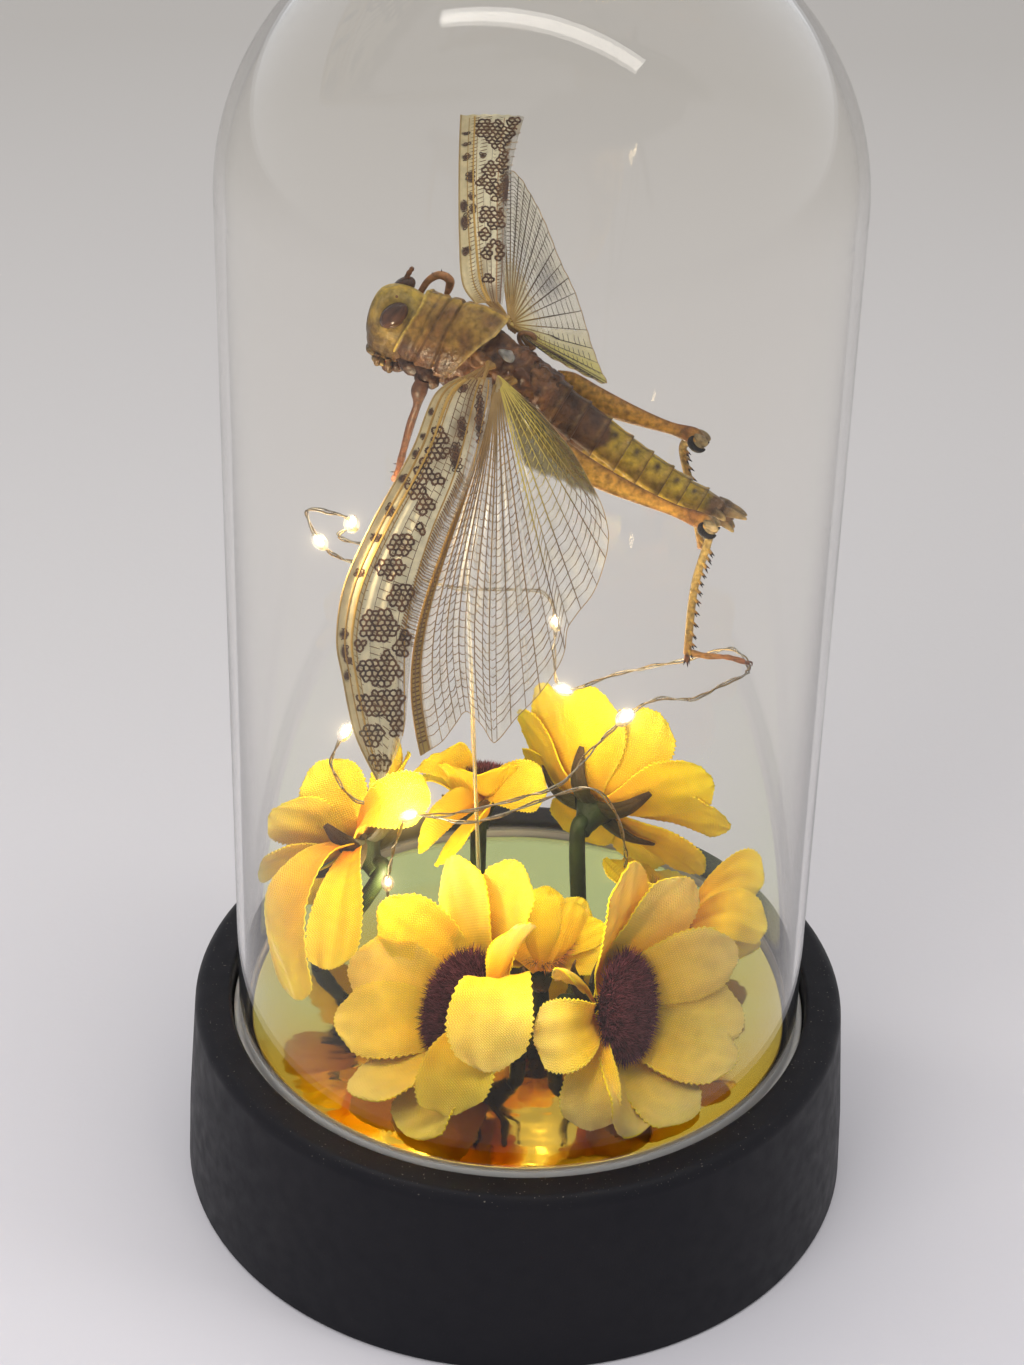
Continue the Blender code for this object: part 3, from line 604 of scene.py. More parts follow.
def make_dome():
    """Bell of even wall, with a rounded foot that stands in the well."""
    def bell(radius, cap_height, steps=40):
        wall = []
        for step in range(steps + 1):
            angle = math.radians(90.0 * step / steps)
            wall.append((radius * math.sin(angle) if step else 0.0,
                         DOME_STRAIGHT_TOP + cap_height * math.cos(angle)))
        return wall

    foot = LEDGE_HEIGHT + GAP
    inner = DOME_RADIUS - DOME_WALL
    outer = DOME_RADIUS + DOME_FLANGE
    flange_top = foot + FLANGE_HEIGHT
    outline = bell(DOME_RADIUS, DOME_CAP)
    outline += arc((DOME_RADIUS + 0.5, flange_top + 0.5), 0.5, 180, 270, 4)
    outline += arc((outer - 0.4, flange_top - 0.4), 0.4, 90, 0, 4)
    outline += arc((outer - 0.4, foot + 0.4), 0.4, 0, -90, 4)
    outline += arc((inner + 0.4, foot + 0.4), 0.4, 270, 180, 4)
    outline += bell(inner, DOME_CAP - DOME_WALL)[::-1]
    dome = Shape()
    dome.turned(outline, DOME_SEGMENTS)
    dome.piece("clear_bell", clear_plastic(), "clear_dome", "glass_dome", smooth_angle=40.0)


# ---------------------------------------------------------------- locust frame

def on_locust(forward, left, up):
    """Point at a distance forward, left and up from the middle of the thorax."""
    return LOCUST_ORIGIN + FORWARD * forward + LEFT * left + DORSAL * up


def lump(shape, centre, size, sides, rings, tint, rough=0.0):
    """Ellipsoid with half-axes forward, left and up along the locust."""
    axes = (FORWARD * size[0], LEFT * size[1], DORSAL * size[2])
    shape.ball(centre, axes, sides, rings, tint, rough)


def left_wing_frame(lift):
    """Plane that faces the viewer, through the left wing roots."""
    root = on_locust(3.0, 5.6, 1.0)
    right = Vector((0.999, 0.027, 0.019))
    down = Vector((0.029, -0.451, -0.892))
    toward_viewer = down.cross(right)
    return lambda x, y, off: root + right * x + down * y + toward_viewer * (lift + off)


def right_wing_frame(lift):
    """Plane through the right wing roots; x runs along the body and y away from it."""
    root = on_locust(3.0, -4.5, 4.4)
    right = Vector((1.0, 0.0, 0.0))
    outward = Vector((0.0, 0.918, 0.396))
    above = right.cross(outward)
    return lambda x, y, off: root + right * x + outward * y + above * (lift + off)


# ---------------------------------------------------------------- wings

# Colours with opacity
CREAM = (0.98, 0.89, 0.61, 0.90)
TAN = (0.76, 0.60, 0.33, 0.94)
UMBER = (0.048, 0.016, 0.006, 1.0)
GOLD = (0.50, 0.29, 0.060, 1.0)
DEEP_GOLD = (0.66, 0.40, 0.09, 1.0)
RUST = (0.17, 0.070, 0.022, 1.0)
CLEAR = (0.86, 0.84, 0.76, 0.11)
OLIVE_FILM = (0.27, 0.205, 0.042, 0.70)

MEMBRANE = 0.09
FOREWING_COLUMNS, FOREWING_ROWS = 48, 190
HINDWING_COLUMNS, HINDWING_ROWS = 110, 64
WING_RIM_STEPS = 150
FAN_RIM_STEPS = 160
RAY_STEPS = 40
ROW_PITCH = 0.86
# Heights in the noise from which the sideways and lengthwise jitter of the cells are read
JITTER_LAYERS = (5.0, 25.0)


class Curve2:
    """Smooth flat curve through given points, read by a share of its stretches."""

    def __init__(self, points):
        self.path = smooth_path([(x, y, 0.0) for x, y in points], 12)

    def at(self, share):
        place = min(max(share, 0.0), 1.0) * (len(self.path) - 1)
        i = min(int(place), len(self.path) - 2)
        spot = self.path[i].lerp(self.path[i + 1], place - i)
        return spot.x, spot.y


class Blade:
    """Forewing surface: u runs from the front edge to the rear one, v from root to tip."""

    def __init__(self, frame, front, rear, length, swell):
        self.frame = frame
        self.front = Curve2(front)
        self.rear = Curve2(rear)
        self.length = length
        self.swell = swell

    def flat(self, u, v):
        a = self.front.at(v)
        b = self.rear.at(v)
        return a[0] + (b[0] - a[0]) * u, a[1] + (b[1] - a[1]) * u

    def point(self, u, v, off=0.0):
        x, y = self.flat(u, v)
        bow = self.swell * math.sin(math.pi * min(max(y / self.length, 0.0), 1.0))
        bow += 0.35 * math.sin(math.pi * u) + 0.10 * math.cos(u * 34.0) * min(v * 4.0, 1.0)
        return self.frame(x, y, bow + off)

    def locate(self, x, y):
        """Find the place (u, v) of a flat spot, by halving along the length."""
        low = 0.0
        high = 1.0
        for _ in range(18):
            v = (low + high) / 2.0
            a = self.front.at(v)
            b = self.rear.at(v)
            share = (x - a[0]) / (b[0] - a[0])
            if a[1] + (b[1] - a[1]) * share < y:
                low = v
            else:
                high = v
        return share, v


class Fan:
    """Hindwing surface: a runs along the margin from the tip, t from the root out."""

    def __init__(self, frame, root, margin, bow, bulge, pleats, pleat_depth):
        self.frame = frame
        self.root = root
        self.margin = Curve2(margin)
        self.bow = bow
        self.bulge = bulge
        self.pleats = pleats
        self.pleat_depth = pleat_depth

    def flat(self, a, t):
        x, y = self.margin.at(a)
        lean = self.bulge * max(1.0 - a * 3.2, 0.0) * math.sin(math.pi * min(t, 1.0) ** 1.8)
        return self.root[0] + (x - self.root[0]) * t - lean, self.root[1] + (y - self.root[1]) * t

    def point(self, a, t, off=0.0):
        x, y = self.flat(a, t)
        fold = self.pleat_depth * math.cos(2.0 * math.pi * self.pleats * a) * min(t * 2.5, 1.0)
        return self.frame(x, y, self.bow(x, y) + fold + off)


def in_patches(x, y, patches, edge=0.0):
    """Largest share by which a spot lies inside any of the patches (1 in the middle)."""
    return max([-1.0] + [1.0 - math.hypot((x - px) / (half_x + edge), (y - py) / (half_y + edge))
                         for px, py, half_x, half_y in patches])


def cell_net(shape, frame_point, patches, size, radius, seed):
    """Ridges round the cells of each patch: a jittered honeycomb, kept where patches are."""
    corners = {}
    edges = set()
    low_x = min(p[0] - p[2] for p in patches) - size
    high_x = max(p[0] + p[2] for p in patches) + size
    low_y = min(p[1] - p[3] for p in patches) - size
    high_y = max(p[1] + p[3] for p in patches) + size
    for j in range(int((high_y - low_y) / (size * ROW_PITCH)) + 1):
        for i in range(int((high_x - low_x) / size) + 1):
            x = low_x + (i + 0.5 * (j % 2)) * size
            y = low_y + j * size * ROW_PITCH
            uneven = 0.22 * noise.noise(Vector((x * 1.3, y * 1.3, seed)))
            if in_patches(x, y, patches) < 0.02 + uneven:
                continue
            ring = []
            for k in range(6):
                angle = math.radians(60.0 * k + 30.0)
                cx = x + size * 0.577 * math.cos(angle)
                cy = y + size * 0.577 * math.sin(angle)
                # neighbours share a corner where their own corners round to one place
                key = (round(cx * 20.0), round(cy * 20.0))
                if key not in corners:
                    shift = [noise.noise(Vector((cx * 1.7, cy * 1.7, seed + layer)))
                             for layer in JITTER_LAYERS]
                    corners[key] = (cx + 0.34 * size * shift[0], cy + 0.34 * size * shift[1])
                ring.append(key)
            for a, b in zip(ring, ring[1:] + ring[:1]):
                edges.add((min(a, b), max(a, b)))
    for a, b in sorted(edges):
        start = frame_point(*corners[a])
        end = frame_point(*corners[b])
        if start is not None and end is not None:
            dark = mix(UMBER, RUST, 0.5 + 0.9 * noise.noise(start * 0.8))
            shape.tube([start, end], radius, sides=5, tint=dark)


FORE_LEFT_FRONT = [(-1.0, 1.6), (-4.8, 4.2), (-7.8, 11.5), (-10.4, 16.5), (-14.5, 24.0),
                   (-18.2, 32.6), (-19.3, 40.5), (-18.4, 46.5), (-16.6, 55.0), (-13.4, 62.0)]
FORE_LEFT_REAR = [(3.6, 1.6), (3.6, 4.8), (2.2, 11.0), (0.2, 17.5), (-2.6, 24.0),
                  (-5.2, 31.0), (-7.6, 38.5), (-8.6, 45.5), (-9.4, 54.5), (-12.0, 61.4)]
FORE_LEFT_PATCHES = [
    (-4.0, 10.3, 1.0, 1.5), (-4.4, 12.6, 1.6, 1.0), (-6.1, 14.3, 0.8, 1.0), (-6.5, 16.1, 1.3, 1.0),
    (-7.8, 18.4, 1.3, 1.2), (-4.6, 16.6, 0.8, 0.8), (-6.2, 20.4, 1.1, 1.3), (-6.9, 24.2, 0.6, 0.6),
    (-9.8, 26.3, 2.0, 1.7), (-11.6, 29.9, 2.3, 1.6), (-9.9, 34.1, 1.6, 1.9),
    (-13.2, 38.6, 2.8, 2.3), (-9.6, 41.6, 1.4, 1.8), (-15.6, 41.3, 0.7, 0.9),
    (-13.2, 45.5, 3.0, 1.9), (-11.8, 43.5, 1.0, 1.0), (-12.6, 50.3, 3.5, 2.0),
    (-10.4, 53.3, 1.3, 2.1), (-14.0, 55.1, 1.4, 1.7), (-12.9, 59.4, 1.6, 1.4)]
FORE_LEFT_SPOTS = [
    (-5.5, 6.7, 0.4, 0.5), (-6.7, 10.3, 0.4, 0.4), (-7.7, 12.9, 0.5, 0.6), (-9.6, 16.6, 0.8, 0.6),
    (-11.5, 21.3, 0.6, 0.9), (-13.5, 25.4, 0.9, 0.7), (-16.0, 30.8, 0.8, 0.5),
    (-18.3, 39.9, 0.7, 0.6), (-18.2, 42.5, 0.5, 1.1), (-17.5, 43.9, 0.7, 0.5),
    (-17.9, 46.2, 0.4, 0.8), (-0.7, 3.2, 0.7, 0.6), (-0.8, 9.0, 0.6, 1.8), (-1.7, 13.3, 0.7, 2.4),
    (1.8, 7.0, 0.5, 4.0)]
FORE_RIGHT_FRONT = [
    (-3.6, 1.0), (-5.8, 5.0), (-6.6, 13.6), (-7.1, 24.0), (-7.4, 33.0), (-7.5, 40.4)]
FORE_RIGHT_REAR = [(0.4, 1.0), (0.6, 5.0), (0.6, 13.6), (0.5, 24.0), (1.3, 33.0), (2.6, 40.6)]
FORE_RIGHT_PATCHES = [
    (-3.6, 37.4, 1.4, 1.9), (-1.4, 35.9, 1.7, 3.2), (1.3, 38.4, 1.2, 2.2), (-2.4, 28.4, 1.0, 1.7),
    (-0.4, 29.8, 1.0, 2.2), (-3.4, 25.8, 0.9, 1.2), (-1.9, 24.4, 1.0, 1.6), (-1.3, 22.6, 0.7, 1.0),
    (-2.5, 18.8, 1.1, 1.9), (-1.6, 16.7, 0.7, 1.2), (-2.8, 14.6, 0.7, 0.9), (-1.8, 12.6, 0.5, 1.0),
    (-2.4, 10.8, 0.8, 0.9), (-0.3, 11.5, 0.6, 2.2), (-0.2, 18.4, 0.6, 1.9), (-1.9, 5.7, 0.6, 0.8),
]
FORE_RIGHT_SPOTS = [
    (-6.6, 36.3, 0.7, 0.3), (-6.5, 33.8, 0.7, 0.3), (-6.3, 31.1, 0.7, 0.6), (-5.5, 26.7, 0.7, 1.3),
    (-5.1, 22.5, 0.5, 0.6), (-4.8, 19.9, 0.5, 1.0), (-6.3, 20.6, 0.6, 1.3), (-6.0, 17.3, 0.7, 1.6),
    (-5.6, 11.3, 0.7, 0.9), (-3.7, 31.3, 0.4, 0.6), (0.2, 24.5, 0.7, 3.6),
]

# Long veins of the forewings: places (u, v) along each, its radius and its colour
LEFT_VEINS = [
    ([(0.10, 0.02), (0.13, 0.2), (0.12, 0.5), (0.10, 0.75), (0.16, 0.97)], 0.20, GOLD),
    ([(0.24, 0.02), (0.25, 0.2), (0.21, 0.5), (0.19, 0.75), (0.28, 0.98)], 0.26, DEEP_GOLD),
    ([(0.30, 0.02), (0.31, 0.2), (0.27, 0.5), (0.25, 0.75), (0.36, 0.98)], 0.13, GOLD),
    ([(0.40, 0.02), (0.44, 0.2), (0.42, 0.5), (0.44, 0.75), (0.60, 0.96)], 0.08, RUST),
    ([(0.50, 0.02), (0.56, 0.2), (0.56, 0.5), (0.62, 0.75), (0.80, 0.93)], 0.07, RUST),
    ([(0.58, 0.02), (0.64, 0.2), (0.70, 0.5), (0.80, 0.75), (0.93, 0.88)], 0.09, RUST),
    ([(0.66, 0.02), (0.72, 0.2), (0.80, 0.5), (0.93, 0.80), (0.99, 0.9)], 0.15, GOLD),
    ([(0.78, 0.02), (0.82, 0.2), (0.90, 0.38)], 0.09, (0.45, 0.22, 0.06, 1.0)),
    ([(0.90, 0.02), (0.93, 0.18), (0.98, 0.30)], 0.12, GOLD),
]
RIGHT_VEINS = [
    ([(0.36, 0.03), (0.26, 0.2), (0.18, 0.5), (0.14, 0.97)], 0.13, GOLD),
    ([(0.50, 0.02), (0.42, 0.2), (0.31, 0.5), (0.22, 0.98)], 0.25, DEEP_GOLD),
    ([(0.56, 0.02), (0.50, 0.2), (0.38, 0.5), (0.28, 0.98)], 0.12, GOLD),
    ([(0.64, 0.02), (0.58, 0.3), (0.50, 0.6), (0.44, 0.97)], 0.07, RUST),
    ([(0.70, 0.02), (0.68, 0.3), (0.64, 0.6), (0.56, 0.97)], 0.08, RUST),
    ([(0.78, 0.02), (0.80, 0.3), (0.78, 0.6), (0.70, 0.97)], 0.14, (0.50, 0.27, 0.10, 1.0)),
    ([(0.90, 0.02), (0.92, 0.3), (0.92, 0.62)], 0.10, RUST),
]


def make_forewing(blade, patches, spots, long_veins, comb, seed):
    """Leathery wing: cream sheet, ribs along it, dark nets of cells and a combed rear edge."""
    shape = Shape()

    def tint(u, v):
        x, y = blade.flat(u, v)
        wisp = noise.noise(Vector((x * 0.5, y * 0.25, seed)))
        colour = mix(CREAM, (0.70, 0.54, 0.27, 0.94), 0.30 + wisp - 1.2 * v)
        if u < 0.26:
            colour = mix(colour, (0.66, 0.50, 0.20, 0.96), 0.55)
        if v < 0.16:
            colour = mix((0.48, 0.30, 0.075, 1.0), colour, v / 0.16)
        basal = near(v, 0.16, 0.13) * near(u, 0.62, 0.24)
        colour = mix(colour, (0.22, 0.13, 0.065, 0.95), basal * (0.62 + 0.8 * wisp))
        rear = (u - 0.78) / 0.22
        if rear > 0.0:
            colour = mix(colour, (0.60, 0.54, 0.42, 0.34), rear * 1.6)
        colour = mix(colour, TAN, 0.9 * in_patches(x, y, patches, 0.25))
        spot = in_patches(x, y, spots, 0.15)
        if spot > 0.0:
            colour = mix(colour, (0.075, 0.030, 0.014, 1.0), 2.4 * spot + 0.3 * wisp)
        return colour
    shape.sheet(blade.point, FOREWING_COLUMNS, FOREWING_ROWS, MEMBRANE, tint)

    def net_point(x, y):
        u, v = blade.locate(x, y)
        if 0.05 < u < 0.97 and 0.02 < v < 0.995:
            return blade.point(u, v)
        return None
    cell_net(shape, net_point, patches, 0.88, 0.205, seed)
    cell_net(shape, net_point, spots, 0.55, 0.12, seed + 1.0)
    for veins, radius, colour in long_veins:
        path = [blade.point(u, v) for u, v in smooth_places(veins)]
        shape.tube(path, taper(radius, path, 1.15, -0.6), sides=6, tint=colour)

    # fine slanting cross-veins in the pale fields
    fields = sorted(veins[len(veins) // 2][0] for veins, radius, colour in long_veins)
    for k in range(150):
        v = 0.05 + 0.93 * k / 150.0
        for front, rear in zip(fields, fields[1:]):
            if rear - front < 0.05 or (k + int(front * 100)) % 3:
                continue
            start = blade.point(front, v, 0.02)
            end = blade.point(rear, min(v + 0.012, 1.0), 0.02)
            shape.tube([start, end], 0.065, sides=4, tint=(0.26, 0.15, 0.06, 1.0))

    first, last, count = comb
    for k in range(count):
        v = first + (last - first) * k / count
        lean = 0.030 + 0.008 * noise.noise(Vector((k * 0.7, seed, 0.0)))
        path = [blade.point(0.80, v), blade.point(0.90, v + lean * 0.6),
                blade.point(1.02, min(v + lean, 1.0))]
        shape.tube(path, [0.11, 0.10, 0.07], sides=4, tint=mix(RUST, GOLD, 0.15 + 0.2 * (k % 3)))
    rim = [blade.point(0.0, i / WING_RIM_STEPS) for i in range(WING_RIM_STEPS + 1)]
    shape.tube(rim, 0.16, sides=6, tint=(0.50, 0.34, 0.12, 1.0))
    return shape


def wing_roots(shape, starts, hinge, radius):
    """Stout vein stubs that gather from the base of a wing into its hinge."""
    for k, start in enumerate(starts):
        shift = FORWARD * (0.35 * (k - 0.5 * len(starts)))
        middle = start.lerp(hinge + shift, 0.5) + DORSAL * 0.25
        path = smooth_path([start, middle, hinge + shift], 6)
        shape.tube(path, taper(radius, path, 0.75, 0.65), sides=9,
                   tint=mix(GOLD, RUST, 0.25 + 0.2 * (k % 3)))


def make_hindwing(fan, rays, cross_step, cross_radius, tint, vein_tint, cross_reach, seed):
    """Clear pleated fan with a vein on each fold and thin cross-veins between them."""
    shape = Shape()
    shape.sheet(fan.point, HINDWING_COLUMNS, HINDWING_ROWS, MEMBRANE * 0.8, tint)
    shares = [t / RAY_STEPS for t in range(2, RAY_STEPS + 1)]
    for k, a in enumerate(rays):
        path = [fan.point(a, t, 0.03) for t in shares]
        heavy = 0.17 if k < 2 else (0.135 if k % 2 else 0.095)
        shape.tube(path, taper(heavy, path, 1.15, -0.65), sides=5,
                   tint=lambda i, j, a=a: vein_tint(a, shares[i]))
    for k, (a, b) in enumerate(zip(rays, rays[1:])):
        middle = (a + b) / 2.0
        edge = fan.margin.at(middle)
        length = math.hypot(edge[0] - fan.root[0], edge[1] - fan.root[1])
        for i in range(int(length * (1.0 - cross_reach) / cross_step)):
            jitter = 0.35 * noise.noise(Vector((k * 3.1, i * 1.7, seed)))
            t = cross_reach + (i + jitter) * cross_step / length
            if t > 0.985:
                continue
            bend = 0.006 * noise.noise(Vector((i * 2.3, k * 1.9, seed)))
            path = [fan.point(a, t, 0.02), fan.point(middle, t + bend + 0.004, 0.02),
                    fan.point(b, t, 0.02)]
            shape.tube(path, cross_radius, sides=4, tint=vein_tint(middle, t))
    rim = [fan.point(i / FAN_RIM_STEPS, 1.0) for i in range(FAN_RIM_STEPS + 1)]
    shape.tube(rim, 0.07, sides=5, tint=(0.40, 0.26, 0.12, 1.0))
    return shape


def make_forewings():
    leathery = wing_film("forewing_cream", 0.42)
    left = Blade(left_wing_frame(2.3), FORE_LEFT_FRONT, FORE_LEFT_REAR, 62.0, 0.45)
    shape = make_forewing(left, FORE_LEFT_PATCHES, FORE_LEFT_SPOTS, LEFT_VEINS,
                          (0.30, 0.70, 62), 3.0)
    wing_roots(shape, [left.point(u, 0.02) for u in (0.12, 0.28, 0.52, 0.76)],
               on_locust(0.4, 4.1, 2.6), 0.34)
    shape.piece("forewing_left_dressed", leathery, "forewing_cream", "forewing_left")

    right = Blade(right_wing_frame(1.6), FORE_RIGHT_FRONT, FORE_RIGHT_REAR, 41.0, 0.2)
    shape = make_forewing(right, FORE_RIGHT_PATCHES, FORE_RIGHT_SPOTS, RIGHT_VEINS,
                          (0.5, 0.9, 10), 7.0)
    wing_roots(shape, [right.point(u, 0.02) for u in (0.40, 0.52, 0.64, 0.80)],
               on_locust(0.2, -3.3, 4.4), 0.30)
    shape.piece("forewing_right_dressed", leathery, "forewing_cream", "forewing_right")


HIND_LEFT_MARGIN = [
    (-7.0, 58.7), (-3.9, 56.6), (-1.8, 53.8), (-0.6, 52.1), (0.4, 52.2), (2.3, 54.1),
    (3.6, 56.2), (4.6, 56.0), (7.4, 52.4), (10.0, 49.7), (12.7, 46.1), (14.4, 42.7),
    (14.9, 39.1), (16.4, 36.7), (18.8, 33.5), (20.3, 29.4), (20.9, 26.5), (20.9, 24.1),
    (19.9, 20.4), (17.9, 16.5), (15.5, 12.4), (12.6, 8.8), (9.9, 5.9), (7.4, 3.8)]
HIND_LEFT_RAYS = [
    0.0, 0.010, 0.020, 0.045, 0.066, 0.088, 0.115, 0.145, 0.175, 0.205, 0.235, 0.265, 0.30,
    0.335, 0.37, 0.405, 0.445, 0.485, 0.53, 0.575, 0.62, 0.665, 0.71, 0.755, 0.80, 0.85, 0.90,
    0.95, 1.0]
HIND_RIGHT_MARGIN = [
    (-3.2, 29.6), (1.2, 29.6), (4.1, 24.7), (6.5, 18.8), (8.9, 11.3), (11.4, 4.7),
    (13.5, -3.2), (15.3, -9.3), (16.2, -12.3), (11.8, -10.0), (7.4, -7.2)]
HIND_RIGHT_RAYS = [
    0.02, 0.06, 0.09, 0.125, 0.16, 0.20, 0.24, 0.28, 0.32, 0.365, 0.41, 0.455, 0.50, 0.545,
    0.59, 0.635, 0.68, 0.725, 0.77, 0.81, 0.85, 0.89, 0.93, 0.97, 1.0]
# Painted sheen on the left hindwing, pale streaks that stand in for highlights on the pleats:
# middle and half width along the margin, start and end
SHEEN_STREAKS = [(0.135, 0.012, 0.22, 0.62), (0.20, 0.018, 0.20, 0.72), (0.265, 0.010, 0.25, 0.80),
           (0.335, 0.016, 0.30, 0.74), (0.42, 0.010, 0.35, 0.70), (0.385, 0.006, 0.3, 0.95)]


def make_left_hindwing(filmy):
    def bow(x, y):
        across = min(max((x + 4.0) / 14.0, 0.0), 1.0)
        return 4.2 * across * across * (3.0 - 2.0 * across) - 1.2 * min(y / 40.0, 1.0)
    fan = Fan(left_wing_frame(0.0), (4.4, 1.2), HIND_LEFT_MARGIN, bow, 4.3, 22.0, 0.16)

    def film(a, t):
        x, y = fan.flat(a, t)
        wisp = noise.noise(Vector((x * 0.6, y * 0.3, 11.0)))
        colour = mix(CLEAR, (0.86, 0.82, 0.68, 0.28), 0.4 + 1.6 * wisp)
        # Painted sheen: whitish, more opaque strips along some pleats stand in for their
        # highlights.
        for middle, half, start, end in SHEEN_STREAKS:
            if start < t < end:
                glow = 1.0 - abs(a - middle) / half
                fade = min((t - start) / 0.06, (end - t) / 0.06, 1.0)
                colour = mix(colour, (0.97, 0.96, 0.92, 0.70), glow * fade * (0.70 + wisp))
        if a > 0.5:
            border_y = 13.5 + 0.42 * (x - 5.0) + 0.6 * wisp
            olive = min(max((border_y - y) / 0.5, 0.0), 1.0) * min((a - 0.5) / 0.06, 1.0)
            colour = mix(colour, OLIVE_FILM, olive)
        if a < 0.026:
            colour = mix((0.44, 0.30, 0.070, 0.92), colour, (a - 0.020) / 0.006)
        if t < 0.2:
            colour = mix((0.58, 0.40, 0.12, 0.9), colour, t / 0.2)
        return colour

    def vein(a, t):
        if a > 0.45:
            return mix((0.70, 0.55, 0.11, 1.0), (0.19, 0.115, 0.048, 1.0), (t - 0.40) * 3.0)
        return mix((0.46, 0.29, 0.09, 1.0), (0.25, 0.155, 0.070, 1.0), t * 2.4)
    shape = make_hindwing(fan, HIND_LEFT_RAYS, 1.3, 0.066, film, vein, 0.16, 21.0)

    # two stout veins at the front edge with rungs between them
    for a in (0.0, 0.020):
        path = [fan.point(a, t / RAY_STEPS) for t in range(1, RAY_STEPS + 1)]
        radii = [0.26 - 0.10 * i / RAY_STEPS for i in range(RAY_STEPS)]
        shape.tube(path, radii, sides=6, tint=(0.34, 0.20, 0.050, 1.0))
    rungs = 56
    for k in range(rungs):
        t = 0.30 + 0.68 * k / rungs
        path = [fan.point(0.001, t), fan.point(0.020, t + 0.004)]
        shape.tube(path, 0.13, sides=4, tint=(0.15, 0.075, 0.024, 1.0))
    wing_roots(shape, [fan.point(a, 0.05) for a in (0.05, 0.4, 0.8)],
               on_locust(-3.6, 3.8, 2.0), 0.36)
    shape.piece("hindwing_left_dressed", filmy, "hindwing_clear", "hindwing_left")


def make_right_hindwing(filmy):
    fan = Fan(right_wing_frame(0.4), (1.6, -1.8), HIND_RIGHT_MARGIN, lambda x, y: 0.0, 0.0,
              20.0, 0.14)

    def film(a, t):
        wisp = noise.noise(Vector((a * 9.0, t * 5.0, 31.0)))
        colour = mix((0.82, 0.74, 0.52, 0.20), (0.84, 0.74, 0.46, 0.34), 0.5 + wisp)
        shade = 0.9 * near(a, 0.42, 0.09) * near(t, 0.72, 0.2)
        colour = mix(colour, (0.25, 0.22, 0.19, 0.45), shade)
        if a > 0.58:
            colour = mix(colour, (0.72, 0.61, 0.13, 0.66), min((a - 0.58) / 0.12, 1.0))
        if t < 0.46:
            colour = mix((0.74, 0.56, 0.12, 0.88), colour, t / 0.46)
        return colour

    def vein(a, t):
        return mix((0.46, 0.28, 0.07, 1.0), (0.060, 0.040, 0.028, 1.0), t * 2.2 - 0.2)
    shape = make_hindwing(fan, HIND_RIGHT_RAYS, 0.80, 0.050, film, vein, 0.34, 41.0)
    wing_roots(shape, [fan.point(a, 0.04) for a in (0.05, 0.35, 0.7)],
               on_locust(-3.4, -3.4, 3.6), 0.34)
    shape.piece("hindwing_right_dressed", filmy, "hindwing_clear", "hindwing_right")


def make_wings():
    make_forewings()
    filmy = wing_film("hindwing_clear", 0.22)
    make_left_hindwing(filmy)
    make_right_hindwing(filmy)


# ---------------------------------------------------------------- flowers

# Each flower as in the frame. single gives some petals their own turn, rise, bend and twist
# in degrees and a share of the width. A petal's number counts round the flower by half a
# petal pitch, with outer petals even and inner ones odd.
FLOWERS = [
    dict(centre=(-5.5, -19.8, 44.3), facing=(-0.78, -0.30, 0.55), raised=(-0.59, 0.62, -0.52),
         rise=37.0, lean=12.0, droop=-14.0, curl=-0.5, length=23.8, button=8.6,
         foot=(0.3, -17.4), turn=23.0,
         single={0: (-4, 3, 10, 0, 1.05), 1: (0, 2, 0, 8, 1.1), 2: (-4, -2, -10, -6, 1.15),
                 6: (6, -4, 0, 6, 1.05), 7: (0, -4, 0, -6, 1.1), 8: (3, 3, 12, 4, 1.05),
                 9: (2, -4, 4, -4, 1.1)}),
    dict(centre=(13.2, -18.8, 45.6), facing=(0.85, -0.42, 0.32), raised=(0.53, 0.67, -0.52),
         rise=43.0, lean=18.0, droop=-12.0, curl=-1.0, length=24.0, button=8.6,
         foot=(6.6, -15.4), turn=3.0,
         single={0: (-6, -2, 4, 5, 1.1), 1: (0, 6, 0, 0, 1.0), 2: (0, 2, -6, -4, 1.1),
                 3: (0, -6, 0, 6, 1.1), 7: (0, 4, -20, 4, 1.1), 8: (-4, 3, 6, 0, 1.15),
                 9: (2, 1, 4, -5, 1.1)}),
    dict(centre=(12.6, 17.6, 60.6), facing=(0.46, 0.76, 0.42), raised=(0.2, 0.6, 1.0),
         rise=30.0, lean=14.0, droop=-16.0, curl=-0.6, length=20.5, button=7.4,
         foot=(10.6, 10.5), turn=5.0, single={}),
    dict(centre=(-28.0, 9.0, 57.0), facing=(-0.56, 0.68, 0.46), raised=(0.3, 0.3, 1.0),
         rise=34.0, lean=18.0, droop=-12.0, curl=-0.8, length=17.6, button=7.4,
         foot=(-35.0, 5.0), turn=20.0, single={}),
    dict(centre=(-7.8, 21.0, 59.5), facing=(0.0, 0.50, 0.87), raised=(-1.0, -0.6, 0.0),
         rise=26.0, lean=12.0, droop=-24.0, curl=0.8, length=9.2, button=4.6,
         foot=(-7.8, 18.0), turn=20.0,
         single={0: (0, 22, 10, 0, 1.5), 2: (0, 32, 10, 0, 1.5), 4: (0, 10, 10, 0, 1.4)}),
    dict(centre=(3.8, -6.0, 45.5), facing=(0.02, -0.30, 0.95), raised=(0.0, -1.0, 0.0),
         rise=42.0, lean=6.0, droop=-8.0, curl=0.8, length=9.6, button=4.2,
         foot=(4.0, -5.4), turn=0.0, single={}),
    dict(centre=(26.0, 7.5, 42.0), facing=(0.36, 0.04, 0.93), raised=(-0.3, -1.0, 0.0),
         rise=26.0, lean=22.0, droop=-8.0, curl=0.8, length=13.6, button=6.2,
         foot=(25.0, 6.6), turn=10.0,
         single={1: (0, 22, 4, 0, 1.3), 2: (0, 8, 0, 0, 1.2), 9: (0, 26, 4, 0, 1.35)}),
]
PLAIN = (0.0, 0.0, 0.0, 0.0, 1.0)
PETALS_IN_LAYER = 5
